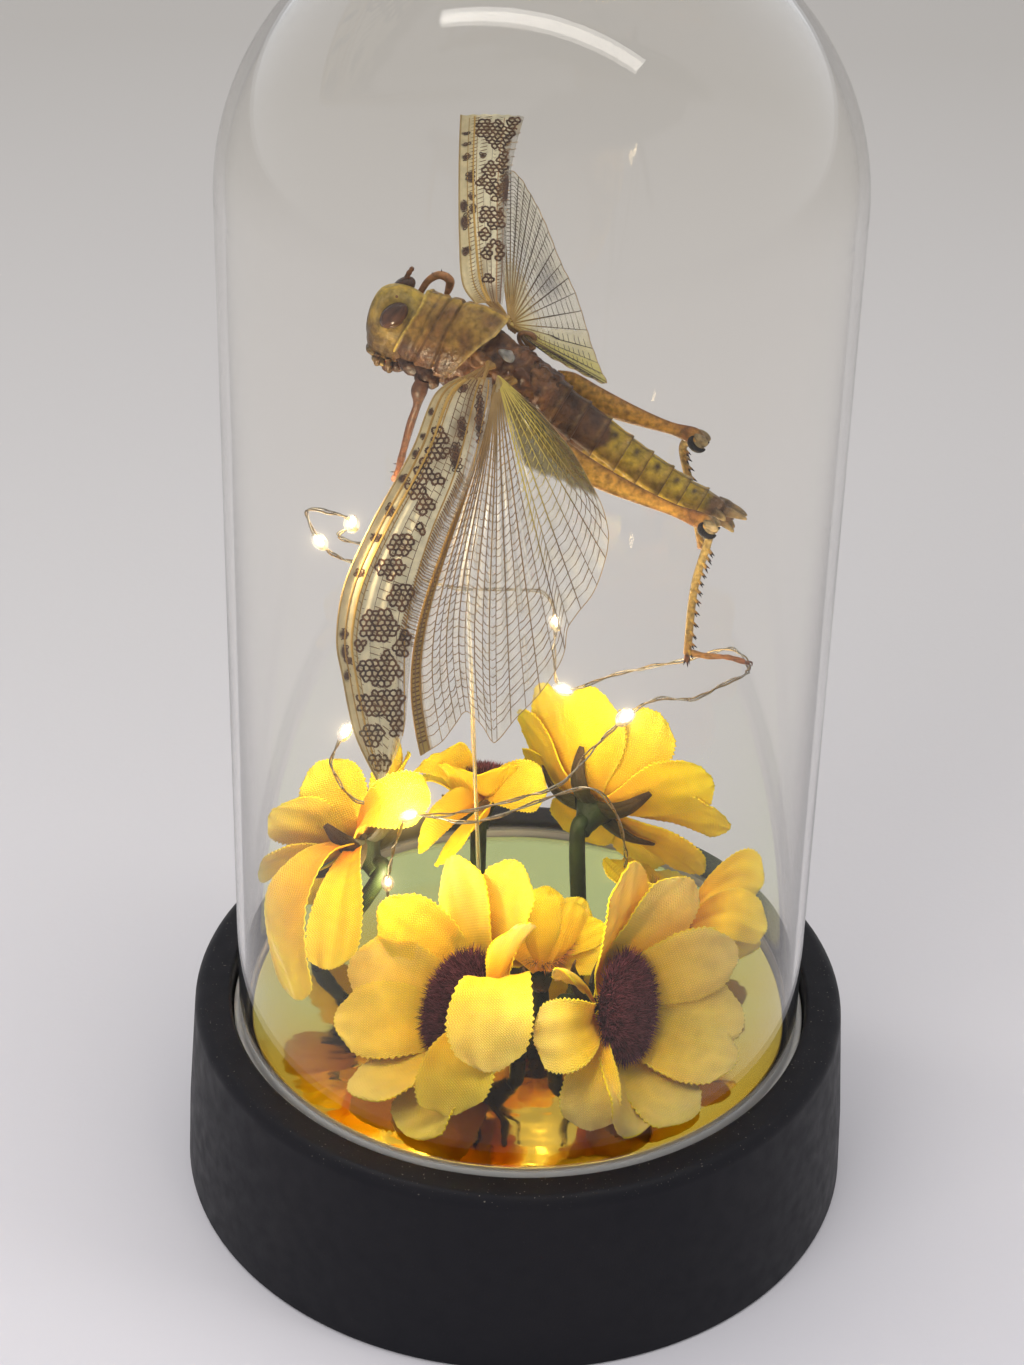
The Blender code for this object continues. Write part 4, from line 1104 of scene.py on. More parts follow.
FABRIC = 0.26
THREAD_PITCH = 0.46
PETAL_HALF_WIDTH = 6.5
PETAL_ROWS, PETAL_COLUMNS = 46, 18
PETAL_OUTLINE = [
    (0.0, 0.28), (0.08, 0.33), (0.17, 0.42), (0.25, 0.54), (0.33, 0.66), (0.42, 0.79),
    (0.50, 0.89), (0.58, 0.96), (0.67, 1.0), (0.75, 0.985), (0.83, 0.93), (0.92, 0.80),
    (1.0, 0.50)]
DEEP_ORANGE = (0.92, 0.28, 0.020)
WARM_YELLOW = (0.96, 0.50, 0.020)
BRIGHT_YELLOW = (0.96, 0.65, 0.016)
PEACH = (0.98, 0.66, 0.230)
EDGE_YELLOW = (0.95, 0.68, 0.06)
PURPLE_FUZZ = (0.085, 0.022, 0.027)
TAN_FUZZ = (0.30, 0.13, 0.035)
LEAF_GREEN = (0.012, 0.020, 0.005)
STEM_GREEN = (0.020, 0.033, 0.008)
DRY_LEAF = (0.055, 0.028, 0.010)

# By flower: range of the share of peach in its petals, number of fibres in its middle
PEACH_SHARE = {1: (0.25, 0.85), 2: (0.6, 1.0)}
FUZZ_FIBRES = {1: 5200, 2: 5200}
TAN_FLOWER = 6
STOUT_SEPALS = (3, 4)

# Petals that curl over the buttons or fill the row at the back: line of the middle, the
# direction across and half the width
LAID_PETALS = {
    (1, 4): ([(-3.9, -22.1, 47.7), (-1.6, -24.7, 53.8), (-3.4, -28.1, 57.8), (-4.2, -32.5, 55.6),
              (-4.2, -35.5, 51.8), (-3.7, -37.3, 46.2)], (1.0, 0.05, 0.08), 6.9),
    (1, 5): ([(-3.9, -21.6, 48.4), (-2.9, -22.7, 55.9), (-1.2, -22.6, 61.6), (1.3, -20.6, 63.8)],
             (0.50, 0.75, -0.40), 5.4),
    (1, 3): ([(-5.1, -23.3, 46.7), (-8.0, -30.2, 47.2), (-9.5, -36.6, 44.6), (-10.2, -39.6, 38.7)],
             (0.96, -0.12, 0.22), 6.4),
    (2, 5): ([(12.5, -22.3, 47.1), (11.8, -28.9, 49.9), (9.2, -33.2, 51.6), (6.1, -34.3, 51.6),
              (2.5, -33.4, 50.3)], (0.12, -0.50, -0.85), 6.0),
    (2, 4): ([(12.5, -21.6, 48.2), (10.8, -25.2, 54.7), (8.3, -26.6, 58.1), (5.4, -27.0, 57.5)],
             (0.25, 0.60, -0.75), 4.8),
    (2, 6): ([(12.6, -23.0, 46.0), (12.3, -32.2, 44.7), (11.9, -37.2, 41.6), (11.8, -39.4, 36.5)],
             (0.98, 0.05, -0.16), 4.9),
    (5, 1): ([(-7.0, 19.0, 59.8), (-10.4, 14.6, 61.6), (-14.6, 11.6, 60.6), (-18.0, 10.4, 57.6)],
             (0.25, 0.62, 0.74), 4.7),
    (5, 3): ([(-6.0, 18.6, 59.6), (-6.8, 13.2, 60.0), (-10.4, 9.4, 58.0), (-14.4, 7.6, 54.0)],
             (0.55, -0.40, 0.73), 4.4),
    (5, 9): ([(-7.2, 20.2, 60.2), (-4.6, 18.2, 63.4), (-0.4, 16.6, 64.8), (4.0, 15.8, 64.0)],
             (0.10, 0.55, 0.83), 4.5),
    (5, 7): ([(-7.8, 21.5, 60.6), (-11.4, 20.0, 65.4), (-14.6, 18.4, 68.6), (-16.4, 17.0, 69.6)],
             (0.80, 0.30, 0.50), 4.6),
    (6, 0): ([(3.7, -10.9, 46.5), (3.1, -11.1, 51.7), (2.3, -9.4, 56.2),
              (3.1, -5.9, 59.8)], (0.98, -0.10, 0.05), 4.4),
    (6, 9): ([(3.2, -10.9, 46.5), (0.4, -10.4, 51.0), (-2.0, -10.3, 56.7),
              (-3.5, -8.4, 59.7)], (0.80, 0.30, 0.50), 3.9),
    (6, 1): ([(4.5, -10.9, 46.5), (6.7, -10.3, 51.0), (7.9, -7.9, 54.8),
              (8.8, -5.4, 56.8)], (0.85, 0.2, -0.4), 3.6),
    (4, 3): ([(-29.0, 6.4, 59.1), (-34.0, -6.7, 64.7), (-38.1, -14.2, 60.5),
              (-37.9, -21.4, 54.7), (-35.8, -24.9, 49.3)], (0.88, -0.42, 0.20), 5.0),
    (4, 5): ([(-28.6, 6.1, 58.5), (-29.1, -9.3, 62.3), (-29.7, -17.4, 59.1),
              (-30.3, -22.7, 54.4)], (0.97, 0.0, 0.22), 4.6),
    (4, 9): ([(-28.7, 7.0, 60.0), (-25.0, -2.6, 72.6), (-20.6, -4.3, 75.6),
              (-15.4, -2.7, 74.3)], (0.15, 0.62, 0.76), 4.8),
    (7, 8): ([(28.2, 6.4, 45.4), (32.4, 4.2, 53.0), (37.2, 3.4, 57.1),
              (41.2, 1.9, 56.7)], (0.2, 0.55, 0.80), 4.4),
    (7, 0): ([(27.4, 4.2, 43.8), (31.7, 0.0, 50.2), (36.5, -2.7, 53.3),
              (41.5, -4.6, 52.0)], (0.1, 0.5, 0.85), 4.4),
}


def limited(value, start, limit):
    """The value itself up to start, then easing towards the limit."""
    if value <= start:
        return value
    room = limit - start
    return start + room * math.tanh((value - start) / room)


def kept_inside(point, offset):
    """Bend what would pass through the dome or the mirror along their surfaces."""
    reach = math.hypot(point.x, point.y)
    limit = PETAL_REACH - 0.9 * max(offset, 0.0)
    kept = limited(reach, limit - 4.0, limit)
    floor = PETAL_FLOOR + 0.9 * max(offset, 0.0)
    height = -limited(-point.z, -floor - 3.0, -floor)
    return Vector((point.x * kept / reach, point.y * kept / reach, height))


class FlowerFrame:
    """Places petals on one smooth cupped surface about the way a flower faces."""

    def __init__(self, flower):
        self.centre = Vector(flower["centre"])
        self.facing = Vector(flower["facing"]).normalized()
        raised = Vector(flower["raised"])
        self.toward = (raised - self.facing * raised.dot(self.facing)).normalized()
        self.sideways = self.facing.cross(self.toward)
        self.rise = math.radians(flower["rise"])
        self.lean = math.radians(flower["lean"])
        self.droop = math.radians(flower["droop"])
        self.curl = flower["curl"]
        self.length = flower["length"]

    def around(self, angle):
        return self.toward * math.cos(angle) + self.sideways * math.sin(angle)

    def across(self, angle):
        return self.facing.cross(self.around(angle)).normalized()

    def slope(self, angle, part, more_rise, more_bend):
        """Angle above the flower's own plane at a share of the petal's length."""
        base = self.rise + self.lean * math.cos(angle) + more_rise
        bend = self.droop * (1.0 + self.curl * math.cos(angle)) + more_bend
        return base * min(max(part, 0.0) / 0.3, 1.0) + bend * max(part - 0.3, 0.0) / 0.7

    def midline(self, angle, offset, steps, start, more_rise=0.0, more_bend=0.0):
        """Points along the middle of a petal with the direction square to it at each."""
        out = self.around(angle)
        radius = HUB_RADIUS + start
        height = 0.0
        line = []
        stretch = (self.length - start) / steps
        for step in range(steps + 1):
            part = (start + stretch * step) / self.length
            slope = self.slope(angle, part, more_rise, more_bend)
            square = self.facing * math.cos(slope) - out * math.sin(slope)
            place = self.centre + out * radius + self.facing * height + square * offset
            line.append((place, square))
            middle = self.slope(angle, part + 0.5 * stretch / self.length, more_rise, more_bend)
            radius += math.cos(middle) * stretch
            height += math.sin(middle) * stretch
        return line


def laid_line(points, across):
    """Middle line of a petal that follows a curve of its own."""
    path = smooth_path(points, PETAL_ROWS)
    total = len(path) - 1
    path = [path[round(total * i / PETAL_ROWS)] for i in range(PETAL_ROWS + 1)]
    return [(middle, direction(path, i).cross(across).normalized())
            for i, middle in enumerate(path)]


def petal_surface(line, across, width, twist, chance, cup, seed):
    """Rows of (point, normal) of a petal: pinked edge, cup, creases and unevenness."""
    outline = Curve2(PETAL_OUTLINE)
    middles = [middle for middle, square in line]
    round_end = 0.22 * width
    surface = []
    for i, (middle, square) in enumerate(line):
        share = i / PETAL_ROWS
        half = width * outline.at(share)[1]
        pinking = 0.032 * (-1.0) ** i * min(share * 3.0, 1.0)
        half *= 1.0 + pinking + 0.012 * chance.uniform(-1.0, 1.0)
        turned_by = twist * share
        side = across * math.cos(turned_by) + square * math.sin(turned_by)
        normal = square * math.cos(turned_by) - across * math.sin(turned_by)
        along = direction(middles, i)
        row = []
        for k in range(PETAL_COLUMNS + 1):
            place = 2.0 * k / PETAL_COLUMNS - 1.0
            back = round_end * place * place * max(share - 0.70, 0.0) / 0.30
            back += 0.24 * (k % 2) * max(share - 0.97, 0.0) / 0.03
            spot = middle + side * (half * place) - along * back
            fold = cup * place * place * math.sin(math.pi * min(share * 1.15, 1.0))
            fold += 0.16 * math.cos(place * 9.0 + seed) * share
            fold += 0.85 * noise.noise(spot * 0.13 + Vector((seed, 0.0, 0.0))) * share
            fold += 0.22 * noise.noise(spot * 0.45 + Vector((0.0, seed, 0.0))) * share
            fold -= 0.30 * math.exp(-(place * 5.0) ** 2) * (1.0 - share)
            row.append((spot + normal * fold, normal))
        surface.append(row)
    return surface


def petal_colour(place, share, bright, seed):
    """Orange at the root to yellow or peach at the end, with a yellow edge."""
    streak = 0.10 * noise.noise(Vector((place * 6.0, share * 1.5, seed * 1.3)))
    deep = mix(DEEP_ORANGE, WARM_YELLOW, share * 2.3 + streak + 0.05)
    colour = mix(deep, bright, (share - 0.40) * 1.8 + streak)
    return mix(colour, EDGE_YELLOW, max(abs(place) - 0.86, 0.0) * 3.0)


def add_petal(shape, frame, number, petal, angle, offset, single):
    """One die-cut petal of a flower, cupped, creased and a little uneven."""
    seed = 100 * number + petal
    chance = random.Random(seed)
    turn, more_rise, more_bend, twist = (math.radians(value) for value in single[:4])
    angle += turn + math.radians(chance.uniform(-2.5, 2.5))
    more_rise += math.radians(chance.uniform(-3.0, 3.0))
    more_bend += math.radians(chance.uniform(-9.0, 5.0))
    twist += math.radians(chance.uniform(-7.0, 7.0))
    cup = chance.uniform(0.3, 1.5)
    peach = chance.uniform(*PEACH_SHARE.get(number, (0.0, 0.3)))
    bright = mix(BRIGHT_YELLOW, PEACH, peach)
    width = PETAL_HALF_WIDTH * min(frame.length / 19.0, 1.0) * single[4]
    width *= chance.uniform(0.94, 1.06)
    if (number, petal) in LAID_PETALS:
        points, across, width = LAID_PETALS[number, petal]
        across = Vector(across).normalized()
        line = laid_line(points, across)
        twist = 0.0
    else:
        across = frame.across(angle)
        line = frame.midline(angle, offset, PETAL_ROWS, -2.2, more_rise, more_bend)
    length = sum((b[0] - a[0]).length for a, b in zip(line, line[1:]))
    surface = petal_surface(line, across, width, twist, chance, cup, seed)
    top, bottom = ([[kept_inside(spot + normal * (lift * FABRIC), offset + lift * FABRIC)
                     for spot, normal in row] for row in surface] for lift in (0.5, -0.5))
    for grid, flip in ((top, 1.0), ([row[::-1] for row in bottom], -1.0)):
        places = [(2.0 * k / PETAL_COLUMNS - 1.0) * flip for k in range(PETAL_COLUMNS + 1)]
        weave = [(place * width, i / PETAL_ROWS * length)
                 for i in range(PETAL_ROWS + 1) for place in places]
        shape.rows(grid, lambda i, k: petal_colour(places[k], i / PETAL_ROWS, bright, seed),
                   closed=False, weave=weave)
    edge = border(PETAL_ROWS, PETAL_COLUMNS)
    rim = [[grid[i][k] for i, k in edge] for grid in (bottom, top)]
    shape.rows(rim, BRIGHT_YELLOW, closed=False)


def make_petals(number, flower, layer, offset, fabric):
    frame = FlowerFrame(flower)
    shape = Shape()
    for k in range(PETALS_IN_LAYER):
        petal = 2 * k + (1 if layer == "inner" else 0)
        angle = math.radians(flower["turn"]) + math.pi / PETALS_IN_LAYER * petal
        single = flower["single"].get(petal, PLAIN)
        add_petal(shape, frame, number, petal, angle, offset + 0.12 * (k % 2), single)
    node = "flower_%d_petals_%s" % (number, layer)
    shape.piece("dressed_" + node, fabric, "petal_yellow", node, smooth_angle=70.0)


def make_button(number, flower, fuzz):
    """Fuzzy middle: a low dome under a pile of short fibres."""
    frame = FlowerFrame(flower)
    tone = TAN_FUZZ if number == TAN_FLOWER else PURPLE_FUZZ
    chance = random.Random(900 + number)
    low = LAYER_STEP + FABRIC + 0.4
    radius = flower["button"]
    height = 0.56 * radius
    shape = Shape()
    profile = [(0.25, 0.0), (0.62, 0.30), (0.94, 0.66), (0.96, 0.80), (0.80, 0.92), (0.5, 0.98),
               (0.0, 1.0)]

    def spot(out, angle, up):
        edge = frame.centre + frame.around(angle) * (radius * out)
        return edge + frame.facing * (low + height * up)
    rows = [[frame.centre + frame.facing * low]]
    for out, up in profile:
        rows.append([spot(out, angle, up) for angle in turns(28 if out else 1)])
    # Painted shade: the dome under the fibres is darkened towards black, as shade inside the pile.
    shape.rows(rows, mix(tone, BLACK, 0.7))
    for _ in range(FUZZ_FIBRES.get(number, 1200)):
        out = math.sqrt(chance.random()) * 0.97
        angle = chance.uniform(0.0, 2.0 * math.pi)
        up = 1.0 - 0.20 * out ** 4 - (0.16 * chance.random() if out > 0.9 else 0.0)
        root = spot(out, angle, up - 0.05)
        aim = frame.facing * (1.25 - out ** 2) + frame.around(angle) * (1.3 * out ** 3)
        aim += Vector([chance.uniform(-0.55, 0.55) for _ in range(3)])
        tip = root + aim.normalized() * chance.uniform(1.0, 2.1 + 0.7 * out ** 4)
        shade = mix(scaled(tone, 0.6), scaled(tone, 4.5), chance.random() ** 1.5)
        # Painted shade: each fibre darkens towards black at its root, deep in the pile.
        shape.spike(root, tip, 0.12, mix(shade, BLACK, 0.75), shade)
    node = "flower_%d_centre" % number
    shape.piece("fuzzy_" + node, fuzz, "centre_brown", node)


def make_calyx(number, flower, green):
    """Star of five ribbed sepals, a cone below them and the stem down to the mirror."""
    frame = FlowerFrame(flower)
    shape = Shape()
    stout = number in STOUT_SEPALS
    for k, angle in enumerate(turns(5)):
        line = frame.midline(angle, -1.25, 22, 0.0)[:11 if stout else 9]
        path = [spot - square * 0.5 * math.sin(i / 3.0) for i, (spot, square) in enumerate(line)]
        count = len(path)
        for rib in (-1.0, 0.0, 1.0):
            fan = []
            for i, point in enumerate(path):
                aside = rib * 1.15 * (1.0 - i / count) ** 0.8
                fan.append(kept_inside(point + frame.across(angle) * aside, 0.0))
            full = (1.45 if stout else 1.0) * (1.05 if rib == 0.0 else 0.75)
            radii = [full * (1.0 - i / count) ** 0.55 + 0.06 for i in range(count)]
            wither = 0.2 + 0.5 * abs(rib) * noise.noise(Vector((k, number, rib)))
            shade = mix(LEAF_GREEN, DRY_LEAF, wither)
            shape.tube(fan, radii, sides=7, flat=0.55, side=frame.facing,
                       tint=lambda i, j: mix(shade, DRY_LEAF, i / count))
    if number == 4:
        # one broad sepal of this flower reaches out towards the viewer
        path = smooth_path([(-27.5, 7.5, 57.0), (-29.2, 1.0, 55.4), (-32.0, -4.5, 53.4),
                            (-34.6, -8.0, 51.0)], 6)
        count = len(path)
        for rib in (-1.0, 0.0, 1.0):
            fan = [point + Vector((0.35, 0.3, 0.9)) * (rib * 1.9 * (1.0 - i / count))
                   for i, point in enumerate(path)]
            radii = [2.0 * (1.0 - i / count) ** 0.8 + 0.08 for i in range(count)]
            shape.tube(fan, radii, sides=9, tint=mix(LEAF_GREEN, DRY_LEAF, 0.35 + 0.2 * rib),
                       flat=0.5, side=Vector((0.6, -0.5, 0.1)))
    neck = 5.0
    cone = [frame.centre - frame.facing * (0.9 + neck * i / 8.0) for i in range(9)]
    shape.tube(cone, [3.6, 3.3, 2.9, 2.5, 2.2, 2.0, 1.85, 1.8, 1.75], sides=20, tint=LEAF_GREEN)
    start = frame.centre - frame.facing * (neck - 1.0)
    bend = frame.centre - frame.facing * (neck + 2.0)
    end = Vector((*flower["foot"], DISC_TOP + GAP))
    path = smooth_path([start, bend, end + Vector((0.0, 0.0, 1.0))], 12) + [end]
    radii = [STEM_RADIUS * (1.0 + 0.05 * noise.noise(point * 0.9)) for point in path]
    shape.tube(path, radii, sides=14,
               tint=lambda i, j: mix(LEAF_GREEN, STEM_GREEN, 0.5 + 0.5 * math.sin(j)))
    node = "flower_%d_calyx" % number
    shape.piece("ribbed_" + node, green, "calyx_green", node)


def make_flowers():
    fabric = petal_fabric()
    fuzz = fuzz_fibre()
    green = calyx_plastic()
    for number, flower in enumerate(FLOWERS, start=1):
        make_petals(number, flower, "outer", 0.0, fabric)
        make_petals(number, flower, "inner", LAYER_STEP, fabric)
        make_button(number, flower, fuzz)
        make_calyx(number, flower, green)


# ---------------------------------------------------------------- locust

REDDISH = (0.20, 0.080, 0.028)
HONEY = (0.47, 0.29, 0.060)
HOOK_BROWN = (0.10, 0.035, 0.016)
KNEE_BLACK = (0.008, 0.006, 0.006)


class Stations:
    """Sections across the body, read at any place between the head and the tail."""

    def __init__(self, table):
        path = smooth_path(table, 8)
        path.sort(key=lambda row: row[0])
        self.places = [row[0] for row in path]
        self.columns = [[row[column] for row in path] for column in (1, 2, 3)]

    def at(self, forward):
        return [float(np.interp(forward, self.places, column)) for column in self.columns]

    def point(self, forward, angle, off=0.0):
        """Angle 0 is the left flank, a quarter turn is the back."""
        middle, half_width, half_height = self.at(forward)
        across = math.cos(angle)
        up = math.sin(angle)
        return on_locust(forward, across * (half_width + off), middle + up * (half_height + off))


def skin(shape, stations, places, sides, relief, tint):
    """Closed skin over the stations at the given places, front and rear ends drawn in."""
    rows = []
    colours = []
    for forward in places:
        middle, half_width, _ = stations.at(forward)
        if half_width < 0.05:
            rows.append([on_locust(forward, 0.0, middle)])
            colours.append([tint(forward, math.pi / 2.0)])
        else:
            rows.append([stations.point(forward, angle, relief(forward, angle))
                         for angle in turns(sides)])
            colours.append([tint(forward, angle) for angle in turns(sides)])
    shape.rows(rows, lambda i, k: colours[i][k])


def patch(point, size, seed=0.0):
    """Slow noise between 0 and 1 over the body."""
    return 0.5 + 0.5 * noise.noise(point * (1.0 / size) + Vector((seed, seed, 0.0)))


# Stations: place forward, middle height, half width and half height
TRUNK = Stations([
    (14.0, -2.4, 0.0, 0.0), (13.0, -2.4, 3.0, 4.0), (10.0, -2.4, 3.9, 4.9), (6.0, -1.9, 4.2, 5.6),
    (1.0, -1.2, 4.4, 6.1), (-4.0, -0.9, 4.2, 5.6), (-8.0, -0.6, 3.8, 4.5), (-10.5, -0.7, 3.3, 3.7),
    (-12.0, -0.9, 0.0, 0.0)])
ABDOMEN = Stations([
    (-7.0, -0.6, 0.0, 0.0), (-8.0, -0.6, 3.5, 4.1), (-13.0, -1.0, 3.5, 3.75),
    (-20.0, -1.7, 3.3, 3.45), (-27.0, -2.4, 3.0, 3.15), (-33.0, -2.5, 2.7, 2.75),
    (-38.5, -2.0, 2.2, 2.15), (-41.6, -1.75, 1.4, 1.3), (-43.0, -1.6, 0.0, 0.0)])
HEAD = Stations([
    (20.9, -1.6, 0.0, 0.0), (20.55, -1.8, 1.7, 2.4), (19.2, -2.7, 3.05, 4.9),
    (17.2, -3.1, 3.75, 6.2), (14.8, -3.0, 3.95, 6.25), (12.4, -2.5, 3.6, 5.3),
    (10.5, -2.2, 0.0, 0.0)])
SHIELD = Stations([
    (14.4, -1.5, 4.1, 5.35), (11.0, -1.1, 4.55, 6.0), (7.0, -0.2, 4.75, 6.5),
    (3.6, 1.0, 4.75, 6.1), (0.4, 1.6, 4.6, 5.6)])
# Degrees from the keel, and how far forward the rear edge of the plate lies there
SHIELD_REAR = [(0.0, 1.2), (30.0, 1.5), (60.0, 2.9), (90.0, 3.9), (120.0, 4.8), (150.0, 5.3),
               (180.0, 5.6)]
SEGMENTS = [-8.6, -12.0, -15.6, -19.5, -23.7, -27.5, -31.3, -34.5, -37.5, -40.4]

# Tail prongs: root and tip
TAIL = [((-41.0, 0.8, -0.6), (-44.6, 0.5, 0.0)), ((-41.0, -0.8, -0.6), (-44.4, -0.5, -0.1)),
        ((-41.0, 0.6, -2.4), (-44.0, 0.6, -3.2)), ((-41.0, -0.6, -2.4), (-43.8, -0.5, -3.2)),
        ((-39.8, 1.5, -1.2), (-41.9, 2.3, -1.0)), ((-39.8, -1.5, -1.2), (-41.9, -2.3, -1.0))]

# Lumps: place, size and colour
# The first plate, pale grey, is a painted highlight: it stands for a shiny spot on the back.
PLATES = [((-1.0, 2.0, 4.0), (1.3, 0.9, 0.75), (0.27, 0.25, 0.22)),
          ((-3.6, 0.0, 4.2), (1.9, 1.5, 0.8), (0.155, 0.062, 0.024)),
          ((-6.6, 0.3, 3.5), (1.7, 1.9, 0.8), (0.20, 0.090, 0.034)),
          ((-4.6, 2.9, 2.2), (2.0, 0.7, 1.5), (0.12, 0.048, 0.020)),
          ((1.6, 3.6, 1.6), (2.2, 0.9, 1.5), (0.20, 0.090, 0.028)),
          ((-2.6, 3.6, 1.0), (2.0, 0.8, 1.4), (0.17, 0.072, 0.024)),
          ((-6.0, 3.8, -1.8), (2.2, 0.9, 2.4), (0.13, 0.066, 0.023)),
          ((-1.0, 4.0, -2.4), (2.0, 0.8, 2.8), (0.10, 0.046, 0.017)),
          ((3.6, 3.8, -4.2), (1.6, 0.9, 1.9), (0.085, 0.036, 0.014))]
CHEST_BROWN = (0.060, 0.026, 0.012)
CHEST = [((10.6, 2.2, -6.4), (2.7, 1.8, 1.5), CHEST_BROWN),
         ((8.0, 3.2, -5.9), (2.2, 1.6, 1.9), CHEST_BROWN),
         ((9.2, -2.6, -6.0), (2.6, 1.6, 1.5), CHEST_BROWN)]
MOUTH = [((15.6, 0.9, -9.3), (1.5, 1.9, 1.0), (0.26, 0.180, 0.060)),
         ((17.4, 0.5, -8.5), (1.2, 2.2, 1.0), (0.15, 0.095, 0.032)),
         ((14.2, 1.7, -9.2), (1.1, 0.8, 1.3), (0.080, 0.038, 0.016)),
         ((13.0, 0.6, -8.4), (1.6, 2.2, 1.4), (0.060, 0.026, 0.012))]


def segment_share(forward):
    """How far through its segment of the abdomen a place lies, from front to rear."""
    for front, rear in zip(SEGMENTS, SEGMENTS[1:]):
        if front >= forward > rear:
            return (front - forward) / (front - rear)
    return 0.5


def make_abdomen(shape):
    def relief(forward, angle):
        share = segment_share(forward)
        back = math.degrees(angle) if angle < 1.5 * math.pi else math.degrees(angle) - 360.0
        seam = near(back, -24.0, 5.0) + near(back, 204.0, 5.0)
        lift = 0.34 * share ** 2.0 - 0.10
        lift += 0.08 * near(share, 0.93, 0.05)
        lift -= 0.34 * seam
        lift += 0.16 * near(back, 90.0, 9.0)
        spot = ABDOMEN.point(forward, angle)
        return lift + 0.13 * noise.noise(spot * 0.55) + 0.05 * noise.noise(spot * 2.1)

    def tint(forward, angle):
        share = segment_share(forward)
        back = math.degrees(angle)
        spot = ABDOMEN.point(forward, angle)
        grain = patch(spot, 0.9, 3.0)
        pale = mix((0.62, 0.44, 0.032), (0.42, 0.26, 0.030), patch(spot, 3.0))
        dark = mix((0.155, 0.068, 0.026), (0.062, 0.024, 0.010), patch(spot, 2.2, 7.0))
        border_place = -19.5 - 1.4 * math.sin(2.0 * angle)
        tone = mix(dark, pale, (border_place - forward) * 1.2 + 0.5)
        # dark rear edges with a paler band before them, and dark marks on flanks and keel
        tone = mix(tone, (0.085, 0.038, 0.014), 0.85 * near(share, 0.98, 0.08))
        tone = mix(tone, (0.30, 0.165, 0.050), 0.5 * near(share, 0.82, 0.07))
        side_spot = near(back, 66.0, 17.0) * near(share, 0.40, 0.17)
        tone = mix(tone, (0.045, 0.020, 0.010), 1.0 * side_spot * (0.7 + 0.5 * grain))
        tone = mix(tone, (0.06, 0.027, 0.012), 0.8 * near(back, 93.0, 6.0))
        flank = near(back, 5.0, 24.0) * near(share, 0.5, 0.5)
        tone = mix(tone, (0.12, 0.062, 0.024), 0.6 * flank)
        tone = mix(tone, (0.20, 0.105, 0.040), (-37.6 - forward) * 0.8)
        return mix(tone, scaled(tone, 0.6), 0.8 * max(grain - 0.5, 0.0))
    places = [-7.0, -7.6]
    for front, rear in zip(SEGMENTS, SEGMENTS[1:]):
        places += spread(front - 0.02, rear + 0.02, 12)
    places += spread(-40.5, -43.0, 9)
    skin(shape, ABDOMEN, places, 64, relief, tint)
    for root, tip in TAIL:
        root = on_locust(*root)
        tip = on_locust(*tip)
        path = smooth_path([root, root.lerp(tip, 0.6) + DORSAL * 0.15, tip], 5)
        count = len(path) - 1
        radii = [0.85 * (1.0 - i / count) ** 0.7 + 0.05 for i in range(count + 1)]
        shape.tube(path, radii, sides=10,
                   tint=lambda i, k: mix((0.16, 0.085, 0.035), (0.50, 0.36, 0.14), i / count))


def make_thorax(shape):
    def relief(forward, angle):
        spot = TRUNK.point(forward, angle)
        rough = 0.42 * noise.noise(spot * 0.42) + 0.42 * noise.noise(spot * 0.95)
        rough += 0.26 * abs(noise.noise(spot * 2.2)) + 0.08 * noise.noise(spot * 4.5)
        seam = near(forward, -1.2, 0.35) + near(forward, -5.2, 0.4) + near(forward, 2.4, 0.3)
        return rough - 0.45 * seam * max(math.sin(angle + 0.5), 0.0)

    def tint(forward, angle):
        spot = TRUNK.point(forward, angle)
        tone = mix((0.060, 0.023, 0.011), (0.23, 0.100, 0.038), patch(spot, 1.3) * 1.7 - 0.4)
        tone = mix(tone, (0.36, 0.19, 0.06), max(patch(spot, 0.7, 4.0) - 0.60, 0.0) * 2.6)
        # Painted shade: the underside darkens, its own darker brown deepened as if lit from above.
        painted_underside_shade = min(max(-0.1 - math.sin(angle), 0.0) * 1.4, 0.9)
        return mix(tone, (0.070, 0.034, 0.013), painted_underside_shade)
    skin(shape, TRUNK, [14.0, 13.4] + spread(13.0, -11.6, 90) + [-12.0], 64, relief, tint)
    for place, size, tone in PLATES:
        lump(shape, on_locust(*place), size, 30, 20, tone, 0.55)
    for place, size, tone in CHEST:
        lump(shape, on_locust(*place), size, 28, 18, tone, 0.35)

    # folded stub of wing skin on the back, a ring that overlaps itself
    ring = []
    for k in range(29):
        angle = 2.0 * math.pi * k / 26
        sideways = 0.5 * math.cos(angle) * math.sin(angle)
        ring.append(on_locust(-2.4 + 1.35 * math.cos(angle), -2.1 + sideways,
                              5.2 + 1.2 * math.sin(angle)))
    shape.tube(ring, 0.34, sides=9, tint=(0.27, 0.135, 0.055))
    for side in (1.0, -1.0):
        lump(shape, on_locust(-9.5, side * 3.2, -4.0), (2.2, 1.4, 2.0), 26, 16,
             (0.22, 0.12, 0.042), 0.12)


